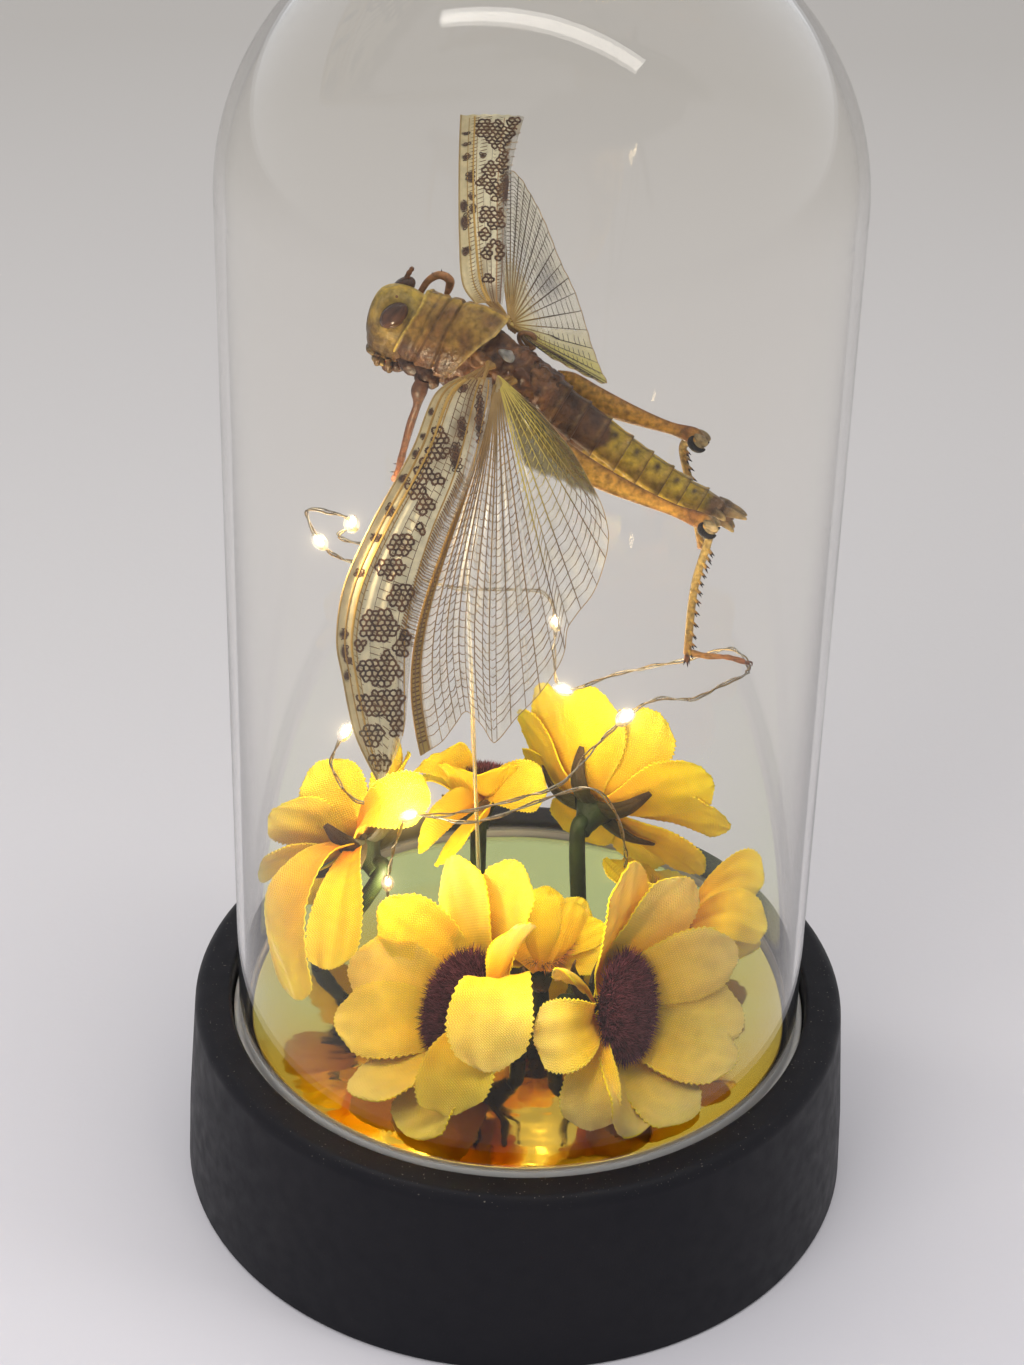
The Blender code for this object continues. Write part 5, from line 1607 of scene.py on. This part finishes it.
def make_shield(shape):
    """Saddle-shaped back plate over the front of the thorax, with grooves and a keel."""
    def place(u, v):
        angle = math.radians(90.0 + 150.0 * (1.0 - 2.0 * v))
        apart = abs(math.degrees(angle) - 90.0)
        rear = float(np.interp(apart, *zip(*SHIELD_REAR)))
        front = 14.3 - 0.5 * near(apart, 40.0, 30.0)
        return front + (rear - front) * u, angle, apart

    def point(u, v, off=0.0):
        forward, angle, apart = place(u, v)
        spot = SHIELD.point(forward, angle)
        side = min(apart / 120.0, 1.0)
        grooves = 0.30 * near(forward, 11.9, 0.28) * near(apart, 65.0, 45.0)
        grooves += 0.34 * near(forward, 10.4 + 0.5 * side, 0.28)
        grooves += 0.42 * near(forward, 8.5 - 0.9 * side, 0.30)
        lift = 0.16 + 0.26 * near(u, 0.02, 0.022) + 0.16 * near(u, 0.985, 0.02)
        lift += 0.34 * near(apart, 0.0, 4.5) * (1.0 - 0.5 * near(forward, 8.5, 0.8))
        lift -= grooves
        lift += 0.20 * noise.noise(spot * 0.38) + 0.07 * noise.noise(spot * 1.4)
        pits = max(noise.noise(spot * 2.3 + Vector((5.0, 0.0, 0.0))), 0.0)
        lift -= 0.22 * pits * (1.0 if forward < 8.5 else 0.35)
        return SHIELD.point(forward, angle, lift + off)

    def tint(u, v):
        forward, angle, apart = place(u, v)
        spot = SHIELD.point(forward, angle)
        tone = mix((0.42, 0.245, 0.042), (0.20, 0.095, 0.022), patch(spot, 2.0) * 1.7 - 0.35)
        # darker lower flanks, their own darker brown deepened by painted shade from light above,
        # then pale rims and keel, then dark grooves
        low = min(max(apart - 62.0, 0.0) / 38.0, 0.95)
        tone = mix(tone, (0.052, 0.021, 0.009), low * (1.0 if forward > 5.5 else 0.85))
        waist = near(forward, 9.6, 1.9) * min(apart / 40.0, 1.0)
        tone = mix(tone, (0.175, 0.075, 0.022), 0.55 * waist)
        tone = mix(tone, (0.62, 0.43, 0.08), 0.9 * near(u, 0.015, 0.025))
        tone = mix(tone, (0.56, 0.40, 0.13), (0.75 - 0.6 * low) * near(u, 0.99, 0.03))
        tone = mix(tone, (0.56, 0.37, 0.065), 0.7 * near(apart, 0.0, 5.0))
        line = near(forward, 8.5, 0.25) + near(forward, 10.5, 0.22)
        line += 0.7 * near(forward, 11.9, 0.2)
        return mix(tone, (0.075, 0.036, 0.014), 0.55 * min(line, 1.0))
    shape.sheet(point, 110, 84, 0.34, tint)


def make_head(shape, eyes):
    def relief(forward, angle):
        spot = HEAD.point(forward, angle)
        back = math.degrees(angle)
        lift = 0.16 * noise.noise(spot * 0.35) + 0.05 * noise.noise(spot * 1.6)
        lift -= 0.30 * near(forward, 15.6, 0.5) * near(back, 330.0, 24.0)
        lift += 0.35 * near(forward, 18.6, 1.0) * near(back, 62.0, 26.0)
        lift -= 0.28 * near(forward, 19.4, 0.35) * near(back, 300.0, 40.0)
        return lift

    def tint(forward, angle):
        spot = HEAD.point(forward, angle)
        up = math.sin(angle)
        tone = mix((0.36, 0.225, 0.038), (0.19, 0.110, 0.026), patch(spot, 1.7) * 1.7 - 0.35)
        crown = max(up - 0.35, 0.0) * 0.9 + 0.25 * near(forward, 20.3, 0.9)
        tone = mix(tone, (0.66, 0.45, 0.060), crown)
        # darker underneath: the head's own darker underside deepened by painted shade from light
        # above
        tone = mix(tone, (0.070, 0.040, 0.014), min(max(-up + 0.05, 0.0) * 1.6, 0.90))
        tone = mix(tone, (0.12, 0.052, 0.018), 0.85 * near(forward, 13.2, 0.7))
        from_eye = (spot - on_locust(16.6, 3.4, 0.0)).length
        tone = mix(tone, (0.42, 0.30, 0.10), 0.6 * near(from_eye, 3.0, 0.5))
        return mix(tone, (0.09, 0.042, 0.018), 0.35 * max(patch(spot, 0.7, 2.0) - 0.62, 0.0) * 3.0)
    places = [20.9, 20.85, 20.75] + spread(20.6, 11.0, 64) + [10.6, 10.5]
    skin(shape, HEAD, places, 72, relief, tint)
    for place, size, tone in MOUTH:
        lump(shape, on_locust(*place), size, 24, 14, tone, 0.16)

    # mouth feelers, then a whole antenna stub on the right and a bare socket on the left
    for root, tip in (((14.4, 2.9, -7.4), (13.4, 3.1, -9.0)),
                      ((16.2, 2.6, -7.9), (15.6, 2.9, -9.2))):
        middle = on_locust(*root).lerp(on_locust(*tip), 0.5) + LEFT * 0.4
        path = smooth_path([on_locust(*root), middle, on_locust(*tip)], 6)
        radii = [0.5 + 0.07 * math.sin(i * 1.6) for i in range(len(path))]
        shape.tube(path, radii, sides=10, tint=(0.17, 0.095, 0.034))
    for side in (-2.4, 1.5):
        root = on_locust(17.5, side, 1.9)
        if side < 0.0:
            path = smooth_path([root, on_locust(18.1, side - 0.1, 3.3),
                                on_locust(18.0, side - 0.5, 4.9)], 8)
            radii = [0.52 + 0.06 * math.sin(i * 1.9) - 0.012 * i for i in range(len(path))]
            shape.tube(path, radii, sides=12, tint=REDDISH)
        lump(shape, root, (0.75, 0.75, 0.55), 18, 10, REDDISH)

    chance = random.Random(61)
    sides = 48
    for place, size in (((16.6, 3.2, 0.0), 1.0), ((17.9, -2.5, 1.3), 0.84)):
        axes = (FORWARD * 1.68 * size, LEFT * 1.5, (DORSAL * 2.45 - FORWARD * 0.7) * size)
        stripe = chance.uniform(0.0, 6.0)

        def eye_tint(i, k, stripe=stripe):
            band = 0.5 + 0.5 * math.sin(math.cos(2.0 * math.pi * k / sides) * 9.0 + stripe)
            return mix((0.060, 0.022, 0.009), (0.125, 0.052, 0.020), band * 0.6)
        eyes.ball(on_locust(*place), axes, sides, 28, eye_tint)


def ridged(angle):
    """Three ridges on each flank of a limb, as a share of their height."""
    return abs(math.cos(1.5 * angle + 0.75 * math.pi))


def fluted(shape, path, radii, tint, sides, ridges, flat=1.0, side=None):
    """Tube whose section carries three raised ridges on each flank."""
    first = len(shape.points)
    shape.tube(path, radii, sides=sides, tint=tint, flat=flat, side=side)
    for i, centre in enumerate(path):
        for k, angle in enumerate(turns(sides)):
            number = first + i * sides + k
            swell = 1.0 + ridges * (ridged(angle) ** 6 - 0.3)
            shape.points[number] = centre + (shape.points[number] - centre) * swell


def limb(points, left, steps):
    return smooth_path([on_locust(forward, left + out, up) for forward, out, up in points], steps)


def stretched(values, steps):
    """Read the values along a path that has this many steps per stretch."""
    return [row[0] for row in smooth_path([(value, 0.0, 0.0) for value in values], steps)]


def make_thorn(shape, root, tip, radius, tone=HONEY):
    """Spine with a black tip."""
    path = [root, root.lerp(tip, 0.45), root.lerp(tip, 0.62), tip]
    tones = [tone, mix(tone, REDDISH, 0.5), (0.012, 0.008, 0.007), KNEE_BLACK]
    shape.tube(path, [radius * share for share in (1.0, 0.72, 0.62, 0.08)], sides=7,
               tint=lambda i, k: tones[i])


def make_thigh(shape, path, steps):
    radii = stretched([1.0, 1.95, 2.1, 1.8, 1.32, 1.02, 1.42, 0.9], steps)
    count = len(path) - 1
    sides = 32

    def tint(i, k):
        share = i / count
        angle = 2.0 * math.pi * k / sides
        up = -math.sin(angle)
        tone = mix((0.68, 0.40, 0.060), (0.50, 0.225, 0.036), share * 0.9 + 0.35 * up)
        tone = mix(tone, (0.17, 0.066, 0.022), 0.85 * ridged(angle) ** 10)
        chevron = math.sin(share * 120.0 + 3.0 * abs(up))
        tone = mix(tone, (0.34, 0.150, 0.032), 0.22 * max(chevron, 0.0))
        tone = mix(tone, (0.16, 0.058, 0.024), 0.75 * near(share, 0.80, 0.05))
        return mix(tone, (0.44, 0.34, 0.18), max(share - 0.86, 0.0) * 9.0)
    fluted(shape, path, radii, tint, sides, 0.10, flat=0.72, side=LEFT)


def make_knee(shape, knee, out):
    """Two rounded lobes and a black crescent on both faces of the knee."""
    down = DORSAL * -1.0
    drop = (down - out * out.dot(down)).normalized()
    lobes = ((0.6, 0.75, (1.25, 0.40, 0.85), (0.25, 0.18, 0.085)),
             (0.4, -0.55, (1.35, 0.42, 0.75), (0.30, 0.22, 0.105)))
    steps = 14
    for face in (1.0, -1.0):
        for reach, low, size, tone in lobes:
            axes = (out * size[0], LEFT * size[1], drop * size[2])
            centre = knee + out * reach + drop * low + LEFT * face * 0.72
            shape.ball(centre, axes, 24, 14, tone, 0.05)
        crescent = []
        for k in range(steps + 1):
            turn = math.radians(200.0 - 190.0 * k / steps)
            crescent.append(knee + out * (0.45 + 1.35 * math.cos(turn)) + LEFT * face * 1.12
                            + drop * (-0.15 + 1.25 * math.sin(turn)))
        sizes = [0.14 + 0.46 * math.sin(math.pi * k / steps) for k in range(steps + 1)]
        shape.tube(crescent, sizes, sides=10, tint=KNEE_BLACK, flat=0.6, side=LEFT)


def make_foot(shape, path):
    """Padded foot with two hooks at its end."""
    count = len(path) - 1
    radii = []
    for i in range(count + 1):
        share = i / count
        pads = 0.10 * abs(math.sin(share * math.pi * 4.0))
        radii.append(0.46 + pads - 0.16 * near(share, 0.60, 0.05) - 0.12 * share)
    fluted(shape, path, radii,
           lambda i, k: mix((0.42, 0.22, 0.06), (0.27, 0.095, 0.035), i / count),
           14, 0.0, side=LEFT)
    tip = path[-1]
    ahead = (tip - path[-4]).normalized()
    for aside in (0.45, -0.45):
        end = tip + ahead * 1.3 + LEFT * aside * 1.3 - DORSAL * 0.8
        hook = smooth_path([tip, tip + ahead * 0.9 + LEFT * aside, end], 5)
        radii = [0.26 - 0.02 * i for i in range(len(hook))]
        shape.tube(hook, radii, sides=8, tint=HOOK_BROWN)
    axes = (ahead * 0.45, LEFT * 0.35, DORSAL * 0.3)
    shape.ball(tip + ahead * 0.3, axes, 12, 8, REDDISH)


def make_hind_leg(side_name, side, thigh, shin, foot, chitin, seed):
    left = side * 6.0
    spine_way = -FORWARD
    shape = Shape()
    chance = random.Random(seed)
    steps = 9
    path = limb(thigh, left, steps)
    make_thigh(shape, path, steps)
    make_knee(shape, path[-7], (path[-1] - path[-9]).normalized())

    path = limb(shin, left, steps)
    radii = stretched([0.85] + [0.62] * (len(shin) - 1), steps)
    reach = len(path) - 1

    def shin_tint(i, k):
        share = i / reach
        tone = mix((0.40, 0.28, 0.09), (0.35, 0.215, 0.055), share)
        tone = mix(tone, (0.10, 0.045, 0.018), 0.8 * near(share, 0.05, 0.04))
        return mix(tone, (0.30, 0.12, 0.035), 0.7 * max(share - 0.85, 0.0) * 6.0)
    fluted(shape, path, radii, shin_tint, 16, 0.10, side=LEFT)

    # two rows of spines down the back of the shin
    start = steps if foot else 2 * steps // 3
    down_shin = (path[-1] - path[start]).normalized()
    thorns = 12 if foot else 9
    for row in (0.34, -0.34):
        for k in range(thorns):
            share = (k + 1.0 + 0.4 * (row < 0.0)) / (thorns + 0.8)
            place = start + share * (reach - start)
            i = min(int(place), reach - 1)
            root = path[i].lerp(path[i + 1], place - i) + LEFT * row
            aim = spine_way + down_shin * chance.uniform(0.35, 0.65) + LEFT * row
            tip = root + aim.normalized() * chance.uniform(1.7, 2.1)
            make_thorn(shape, root + spine_way * 0.3, tip, 0.26)
    end = path[-1]
    if foot:
        for ahead, aside in ((0.9, 0.45), (0.9, -0.45), (-0.2, 0.5), (-0.2, -0.5)):
            tip = end + down_shin * 2.2 + spine_way * ahead * 0.7 + LEFT * aside
            make_thorn(shape, end + LEFT * aside * 0.7, tip, 0.30, (0.16, 0.060, 0.022))
        make_foot(shape, limb(foot, left, steps))
    else:
        lump(shape, end, (0.66, 0.62, 0.7), 16, 10, (0.36, 0.20, 0.10), 0.2)
    shape.piece("dressed_hind_leg_" + side_name, chitin, "leg_brown", "hind_leg_" + side_name)


# Middles along the legs, from the body out
THIGH_LEFT = [(-11.5, -0.4, -3.4), (-15.0, 0.0, -3.2), (-19.0, 0.3, -3.4), (-24.0, 0.2, -3.2),
              (-29.5, 0.0, -2.5), (-34.5, -0.2, -1.7), (-39.0, -0.3, -0.9), (-40.8, -0.3, -0.9)]
SHIN_LEFT = [(-40.4, -0.3, -1.2), (-41.2, -0.3, -3.4), (-43.4, -0.3, -12.5), (-47.9, -0.3, -23.6)]
FOOT_LEFT = [
    (-47.9, -0.3, -23.4), (-50.6, -0.3, -22.2), (-53.4, -0.3, -20.3), (-56.0, -0.3, -19.4)]
THIGH_RIGHT = [(-8.5, 0.2, 0.0), (-11.0, 0.0, 0.0), (-15.0, 0.0, 0.0), (-19.5, 0.0, 0.6),
               (-24.0, 0.0, 1.6), (-28.0, 0.0, 2.7), (-31.4, 0.0, 3.6), (-32.8, 0.0, 3.5)]
SHIN_RIGHT = [(-31.2, -0.4, 2.6), (-31.0, -0.6, 0.0), (-35.4, -0.6, -5.6), (-41.3, -0.6, -13.6)]
FORE_LEG_LEFT = [(8.1, 4.2, -6.2), (7.8, 4.4, -8.4), (7.1, 4.4, -10.8), (6.6, 4.4, -14.5),
                 (5.7, 4.4, -19.4), (5.3, 4.4, -21.4), (5.1, 4.3, -23.0), (4.9, 4.2, -25.2)]
FORE_LEG_RIGHT = [(15.4, -4.4, 0.8), (15.2, -4.7, 3.0), (14.4, -4.9, 4.6), (13.4, -4.9, 5.2),
                  (12.3, -4.9, 5.0), (11.9, -4.9, 3.9), (11.8, -4.9, 2.6)]


def fore_limb(points, radii, tint):
    """Shape of a fore leg and its path; tint is a function of the share of its length."""
    steps = 7
    shape = Shape()
    path = limb(points, 0.0, steps)
    count = len(path) - 1
    fluted(shape, path, stretched(radii, steps), lambda i, k: tint(i / count), 18, 0.08)
    return shape, path


def make_fore_legs(chitin):
    leg, path = fore_limb(
        FORE_LEG_LEFT, [1.0, 1.25, 0.64, 0.66, 0.54, 0.60, 0.42, 0.34],
        lambda share: mix((0.085, 0.036, 0.018), (0.20, 0.078, 0.036), share ** 4 * 1.4))
    lump(leg, on_locust(7.9, 4.3, -8.3), (1.25, 1.2, 1.15), 24, 14, (0.26, 0.12, 0.055), 0.10)
    lump(leg, path[-1], (0.55, 0.5, 0.8), 16, 10, (0.45, 0.19, 0.12), 0.25)
    for k in range(4):
        root = path[-14 + 3 * k]
        tip = root + FORWARD * (1.0 if k % 2 else -1.0) - DORSAL * 0.7
        make_thorn(leg, root, tip, 0.14, REDDISH)
    leg.piece("dressed_fore_leg_left", chitin, "leg_brown", "fore_leg_left")

    leg, path = fore_limb(
        FORE_LEG_RIGHT, [0.5, 0.55, 0.62, 0.66, 0.7, 0.62, 0.42],
        lambda share: mix((0.34, 0.165, 0.070), (0.42, 0.20, 0.080), share))
    for k in range(3):
        root = path[10 + 8 * k]
        make_thorn(leg, root, root + DORSAL * 1.0 + FORWARD * 0.4, 0.13, REDDISH)
    leg.piece("dressed_fore_leg_right", chitin, "leg_brown", "fore_leg_right")


def make_locust():
    shell = body_chitin("locust_olive", 0.38, 900.0, 0.00035)
    chitin = body_chitin("leg_brown", 0.40, 1200.0, 0.00012)
    body = Shape()
    eyes = Shape()
    make_abdomen(body)
    make_thorax(body)
    make_shield(body)
    make_head(body, eyes)
    body.piece("dressed_locust_body", shell, "locust_olive", "locust_body", smooth_angle=60.0)
    eyes.piece("glossy_eyes", eye_gloss(), "eye_brown")
    make_hind_leg("left", 1.0, THIGH_LEFT, SHIN_LEFT, FOOT_LEFT, chitin, 71)
    make_hind_leg("right", -1.0, THIGH_RIGHT, SHIN_RIGHT, [], chitin, 72)
    make_fore_legs(chitin)


# ---------------------------------------------------------------- rod and lights

MAIN_ROUTE = [
    (-22.6, 4.0, 34.2), (-22.7, 2.0, 48.0), (-22.6, 0.5, 55.0), (-21.6, -3.0, 63.5),
    (-20.2, -6.5, 70.5), (-18.6, -8.5, 75.4), (-12.0, -10.0, 77.0), (-2.0, -10.0, 80.2),
    (5.8, -8.0, 82.3), (10.4, -8.0, 88.7), (15.7, -9.0, 96.3), (20.2, -11.0, 101.1),
    (25.5, -14.0, 103.3), (29.8, -16.5, 107.6), (33.6, -18.0, 111.4), (31.6, -11.0, 110.9),
    (25.6, -5.0, 105.0), (15.0, 2.0, 97.5), (5.9, 6.0, 91.5), (4.2, 7.0, 98.0),
    (4.2, 6.0, 104.3), (1.6, 4.0, 111.1), (-11.1, 1.0, 113.1), (-20.0, -8.0, 121.0),
    (-28.0, -17.0, 128.5), (-31.2, -20.5, 133.5), (-32.8, -22.0, 139.5), (-28.6, -20.0, 138.0),
    (-26.8, -16.5, 134.4), (-29.0, -15.5, 131.6), (-26.0, -11.5, 128.0),
]
MAIN_BEADS = (2, 5, 10, 18, 20, 25, 28)
SIDE_ROUTE = [
    (17.5, 3.0, 58.0), (17.0, -2.5, 66.0), (15.0, -4.5, 74.6), (10.7, -6.5, 80.6),
    (3.4, -7.5, 78.9), (-7.1, -8.6, 74.9), (-15.0, -5.0, 73.0), (-22.0, 0.0, 72.0),
    (-28.0, 1.0, 71.5), (-31.6, 0.0, 78.1), (-31.5, -0.5, 81.7), (-29.5, -0.5, 86.1),
]
SIDE_BEADS = (11,)
STRAND_RADIUS = 0.15
LAMP_POWER = 0.018
LAMP_COLOUR = (1.0, 0.82, 0.55)
FILL_COLOUR = (1.0, 0.88, 0.70)
GLUE_YELLOW = (0.90, 0.82, 0.60)

# Warm light that the many lamps of the string spread inside the dome: place and power
FILLS = (((4.0, -37.0, 74.0), 0.045), ((-31.0, -34.0, 94.0), 0.038), ((24.0, -30.0, 132.0), 0.014))


def make_rod(clear):
    """Slim clear rod with a glue foot and a glue drop under the thorax."""
    shape = Shape()
    foot = Vector((-6.5, 8.0, DISC_TOP + GAP))
    top = on_locust(2.6, 0.0, -8.0)
    path = [foot.lerp(top, share) for share in spread(0.0, 1.0, 40)]
    radii = [0.36 + 0.02 * noise.noise(point * 0.3) for point in path]
    radii[:2] = [1.1, 0.42]
    shape.tube(path, radii, sides=16, tint=GLUE_YELLOW)
    lump(shape, top, (1.1, 1.0, 0.8), 18, 12, GLUE_YELLOW, 0.1)
    shape.piece("dressed_support_rod", clear, "rod_clear", "support_rod")


def wound_strands(path, lamp_steps, pitch, seed):
    """Two strands loosely wound about a path, opened round each lamp."""
    travelled = 0.0
    strands = ([], [])
    for i, point in enumerate(path):
        if i:
            travelled += (point - path[i - 1]).length
        ahead = direction(path, i)
        side = ahead.cross(Vector((0.31, 0.52, 0.79))).normalized()
        other = ahead.cross(side)
        apart = 0.19 + 0.22 * max(noise.noise(Vector((travelled * 0.11, seed, 0.0))), 0.0)
        apart = max([apart] + [0.42 * near(i, bead, 4.0) for bead in lamp_steps])
        turn = 2.0 * math.pi * travelled / pitch
        wobble = 0.22 * noise.noise(Vector((travelled * 0.35, seed, 2.0)))
        for strand, phase in zip(strands, (0.0, math.pi)):
            strand.append(point + side * (apart * math.cos(turn + phase) + wobble)
                          + other * (apart * math.sin(turn + phase) - wobble))
    return strands


def make_string(name, route, beads, seed, metal, resin, glow):
    """Two thin wires loosely wound about each other, with a lit drop at some places."""
    steps = 14
    path = smooth_path(route, steps)
    chance = random.Random(seed)
    lamp_steps = [bead * steps for bead in beads]
    strands = wound_strands(path, lamp_steps, chance.uniform(13.0, 15.0), seed)
    wires = Shape()
    for strand, tone in zip(strands, ((0.50, 0.38, 0.22), (0.62, 0.57, 0.47))):
        wires.tube(strand, STRAND_RADIUS, sides=8, tint=tone)
    wires.piece("wound_" + name, metal, "light_wire", name)
    drops = Shape()
    cores = Shape()
    for bead in lamp_steps:
        ahead = direction(path, bead, 2)
        side = ahead.orthogonal().normalized()
        other = ahead.cross(side)
        size = chance.uniform(0.9, 1.08)
        axes = (side * 1.12 * size, other * 1.25 * size, ahead * 2.05 * size)
        drops.ball(path[bead], axes, 24, 16, (0.95, 0.93, 0.88), 0.07)
        axes = (side * 0.62, other * 0.75, ahead * 1.35)
        cores.ball(path[bead], axes, 16, 10, (1.0, 0.86, 0.55))
    for shape, kind, material in ((drops, "resin_drops_", resin), (cores, "lamp_cores_", glow)):
        shape.piece(kind + name, material, "bead_resin").visible_shadow = False
    for number, bead in enumerate(lamp_steps):
        add_lamp("%s_lamp_%d" % (name, number), path[bead], LAMP_POWER, LAMP_COLOUR, 0.9)


def add_lamp(name, place, power, colour, radius):
    """Round point light, its place and radius in millimetres."""
    data = bpy.data.lights.new(name, "POINT")
    data.energy = power
    data.color = colour
    data.shadow_soft_size = radius * MM
    return added(name, data, Vector(place) * MM)


def unseen(lamp):
    """Keep a light out of reflections and out of what the dome refracts."""
    lamp.visible_glossy = False
    lamp.visible_transmission = False


def make_rod_and_lights():
    make_rod(clear_solid("rod_clear", 0.12, (0.93, 0.86, 0.62)))
    metal = wire_metal()
    resin = clear_solid("bead_resin", 0.18, (0.97, 0.95, 0.90))
    glow = lamp_glow()
    make_string("light_string_main", MAIN_ROUTE, MAIN_BEADS, 31, metal, resin, glow)
    make_string("light_string_side", SIDE_ROUTE, SIDE_BEADS, 32, metal, resin, glow)
    for number, (place, power) in enumerate(FILLS):
        unseen(add_lamp("inner_fill_%d" % number, place, power, FILL_COLOUR, 7.0))


# ---------------------------------------------------------------- stage

# Camera fitted to the photograph's view of the case
CAMERA_PLACE = (1.19, -416.55, 364.15)
CAMERA_RIGHT = Vector((0.9995, 0.0227, 0.0217))
CAMERA_UP = Vector((-0.0306, 0.5409, 0.8405))
CAMERA_FORWARD = Vector((-0.0074, 0.8408, -0.5413))
CAMERA_LENS = 81.0
SENSOR_WIDTH = 36.0
GLARE = {"Threshold": 2.5, "Strength": 0.8, "Size": 0.45, "Maximum": 40.0}


def make_stage():
    bpy.ops.mesh.primitive_plane_add(size=6.0, location=(0.0, 0.0, 0.0))
    floor = bpy.context.object
    floor.name = "floor"
    floor.data.materials.append(floor_paint())

    world = bpy.data.worlds.new("studio")
    bpy.context.scene.world = world
    world.use_nodes = True
    sky = world.node_tree.nodes["Background"]
    sky.inputs["Color"].default_value = (0.93, 0.93, 0.95, 1.0)
    sky.inputs["Strength"].default_value = 0.78

    def softbox(name, place, size, colour, target, turn=0.0, power=4.0):
        data = bpy.data.lights.new(name, "AREA")
        data.shape = "RECTANGLE"
        data.size, data.size_y = size
        data.energy = power
        data.color = colour
        lamp = added(name, data, place)
        aim = (Vector(target) - Vector(place)).to_track_quat("-Z", "Y")
        lamp.rotation_euler = (aim.to_matrix() @ Matrix.Rotation(turn, 3, "Z")).to_euler()
        return lamp

    softbox("strip_above", (0.0, 0.03, 1.15), (1.05, 0.10), (1.0, 0.98, 0.95),
            (0.0, 0.0, 0.0), -0.32)
    unseen(softbox("key_soft", (-0.55, -0.75, 0.85), (0.7, 0.7), (1.0, 0.99, 0.97),
                   (0.0, 0.0, 0.1)))


def make_camera():
    data = bpy.data.cameras.new("photo_camera")
    data.lens = CAMERA_LENS
    data.sensor_width = SENSOR_WIDTH
    camera = added("photo_camera", data)
    turn = Matrix((CAMERA_RIGHT, CAMERA_UP, -CAMERA_FORWARD)).transposed()
    camera.matrix_world = Matrix.Translation(Vector(CAMERA_PLACE) * MM) @ turn.to_4x4()
    bpy.context.scene.camera = camera


def make_glow():
    """Soft halo round the blown-out lamps."""
    scene = bpy.context.scene
    scene.use_nodes = True
    tree = scene.node_tree
    tree.nodes.clear()
    layers = tree.nodes.new("CompositorNodeRLayers")
    glare = tree.nodes.new("CompositorNodeGlare")
    glare.glare_type = "FOG_GLOW"
    glare.quality = "HIGH"
    for socket, value in GLARE.items():
        glare.inputs[socket].default_value = value
    output = tree.nodes.new("CompositorNodeComposite")
    tree.links.new(layers.outputs["Image"], glare.inputs["Image"])
    tree.links.new(glare.outputs["Image"], output.inputs["Image"])


make_camera()
make_stage()
make_case()
make_dome()
make_wings()
make_flowers()
make_locust()
make_rod_and_lights()
make_glow()
bpy.context.scene.view_settings.view_transform = "Standard"
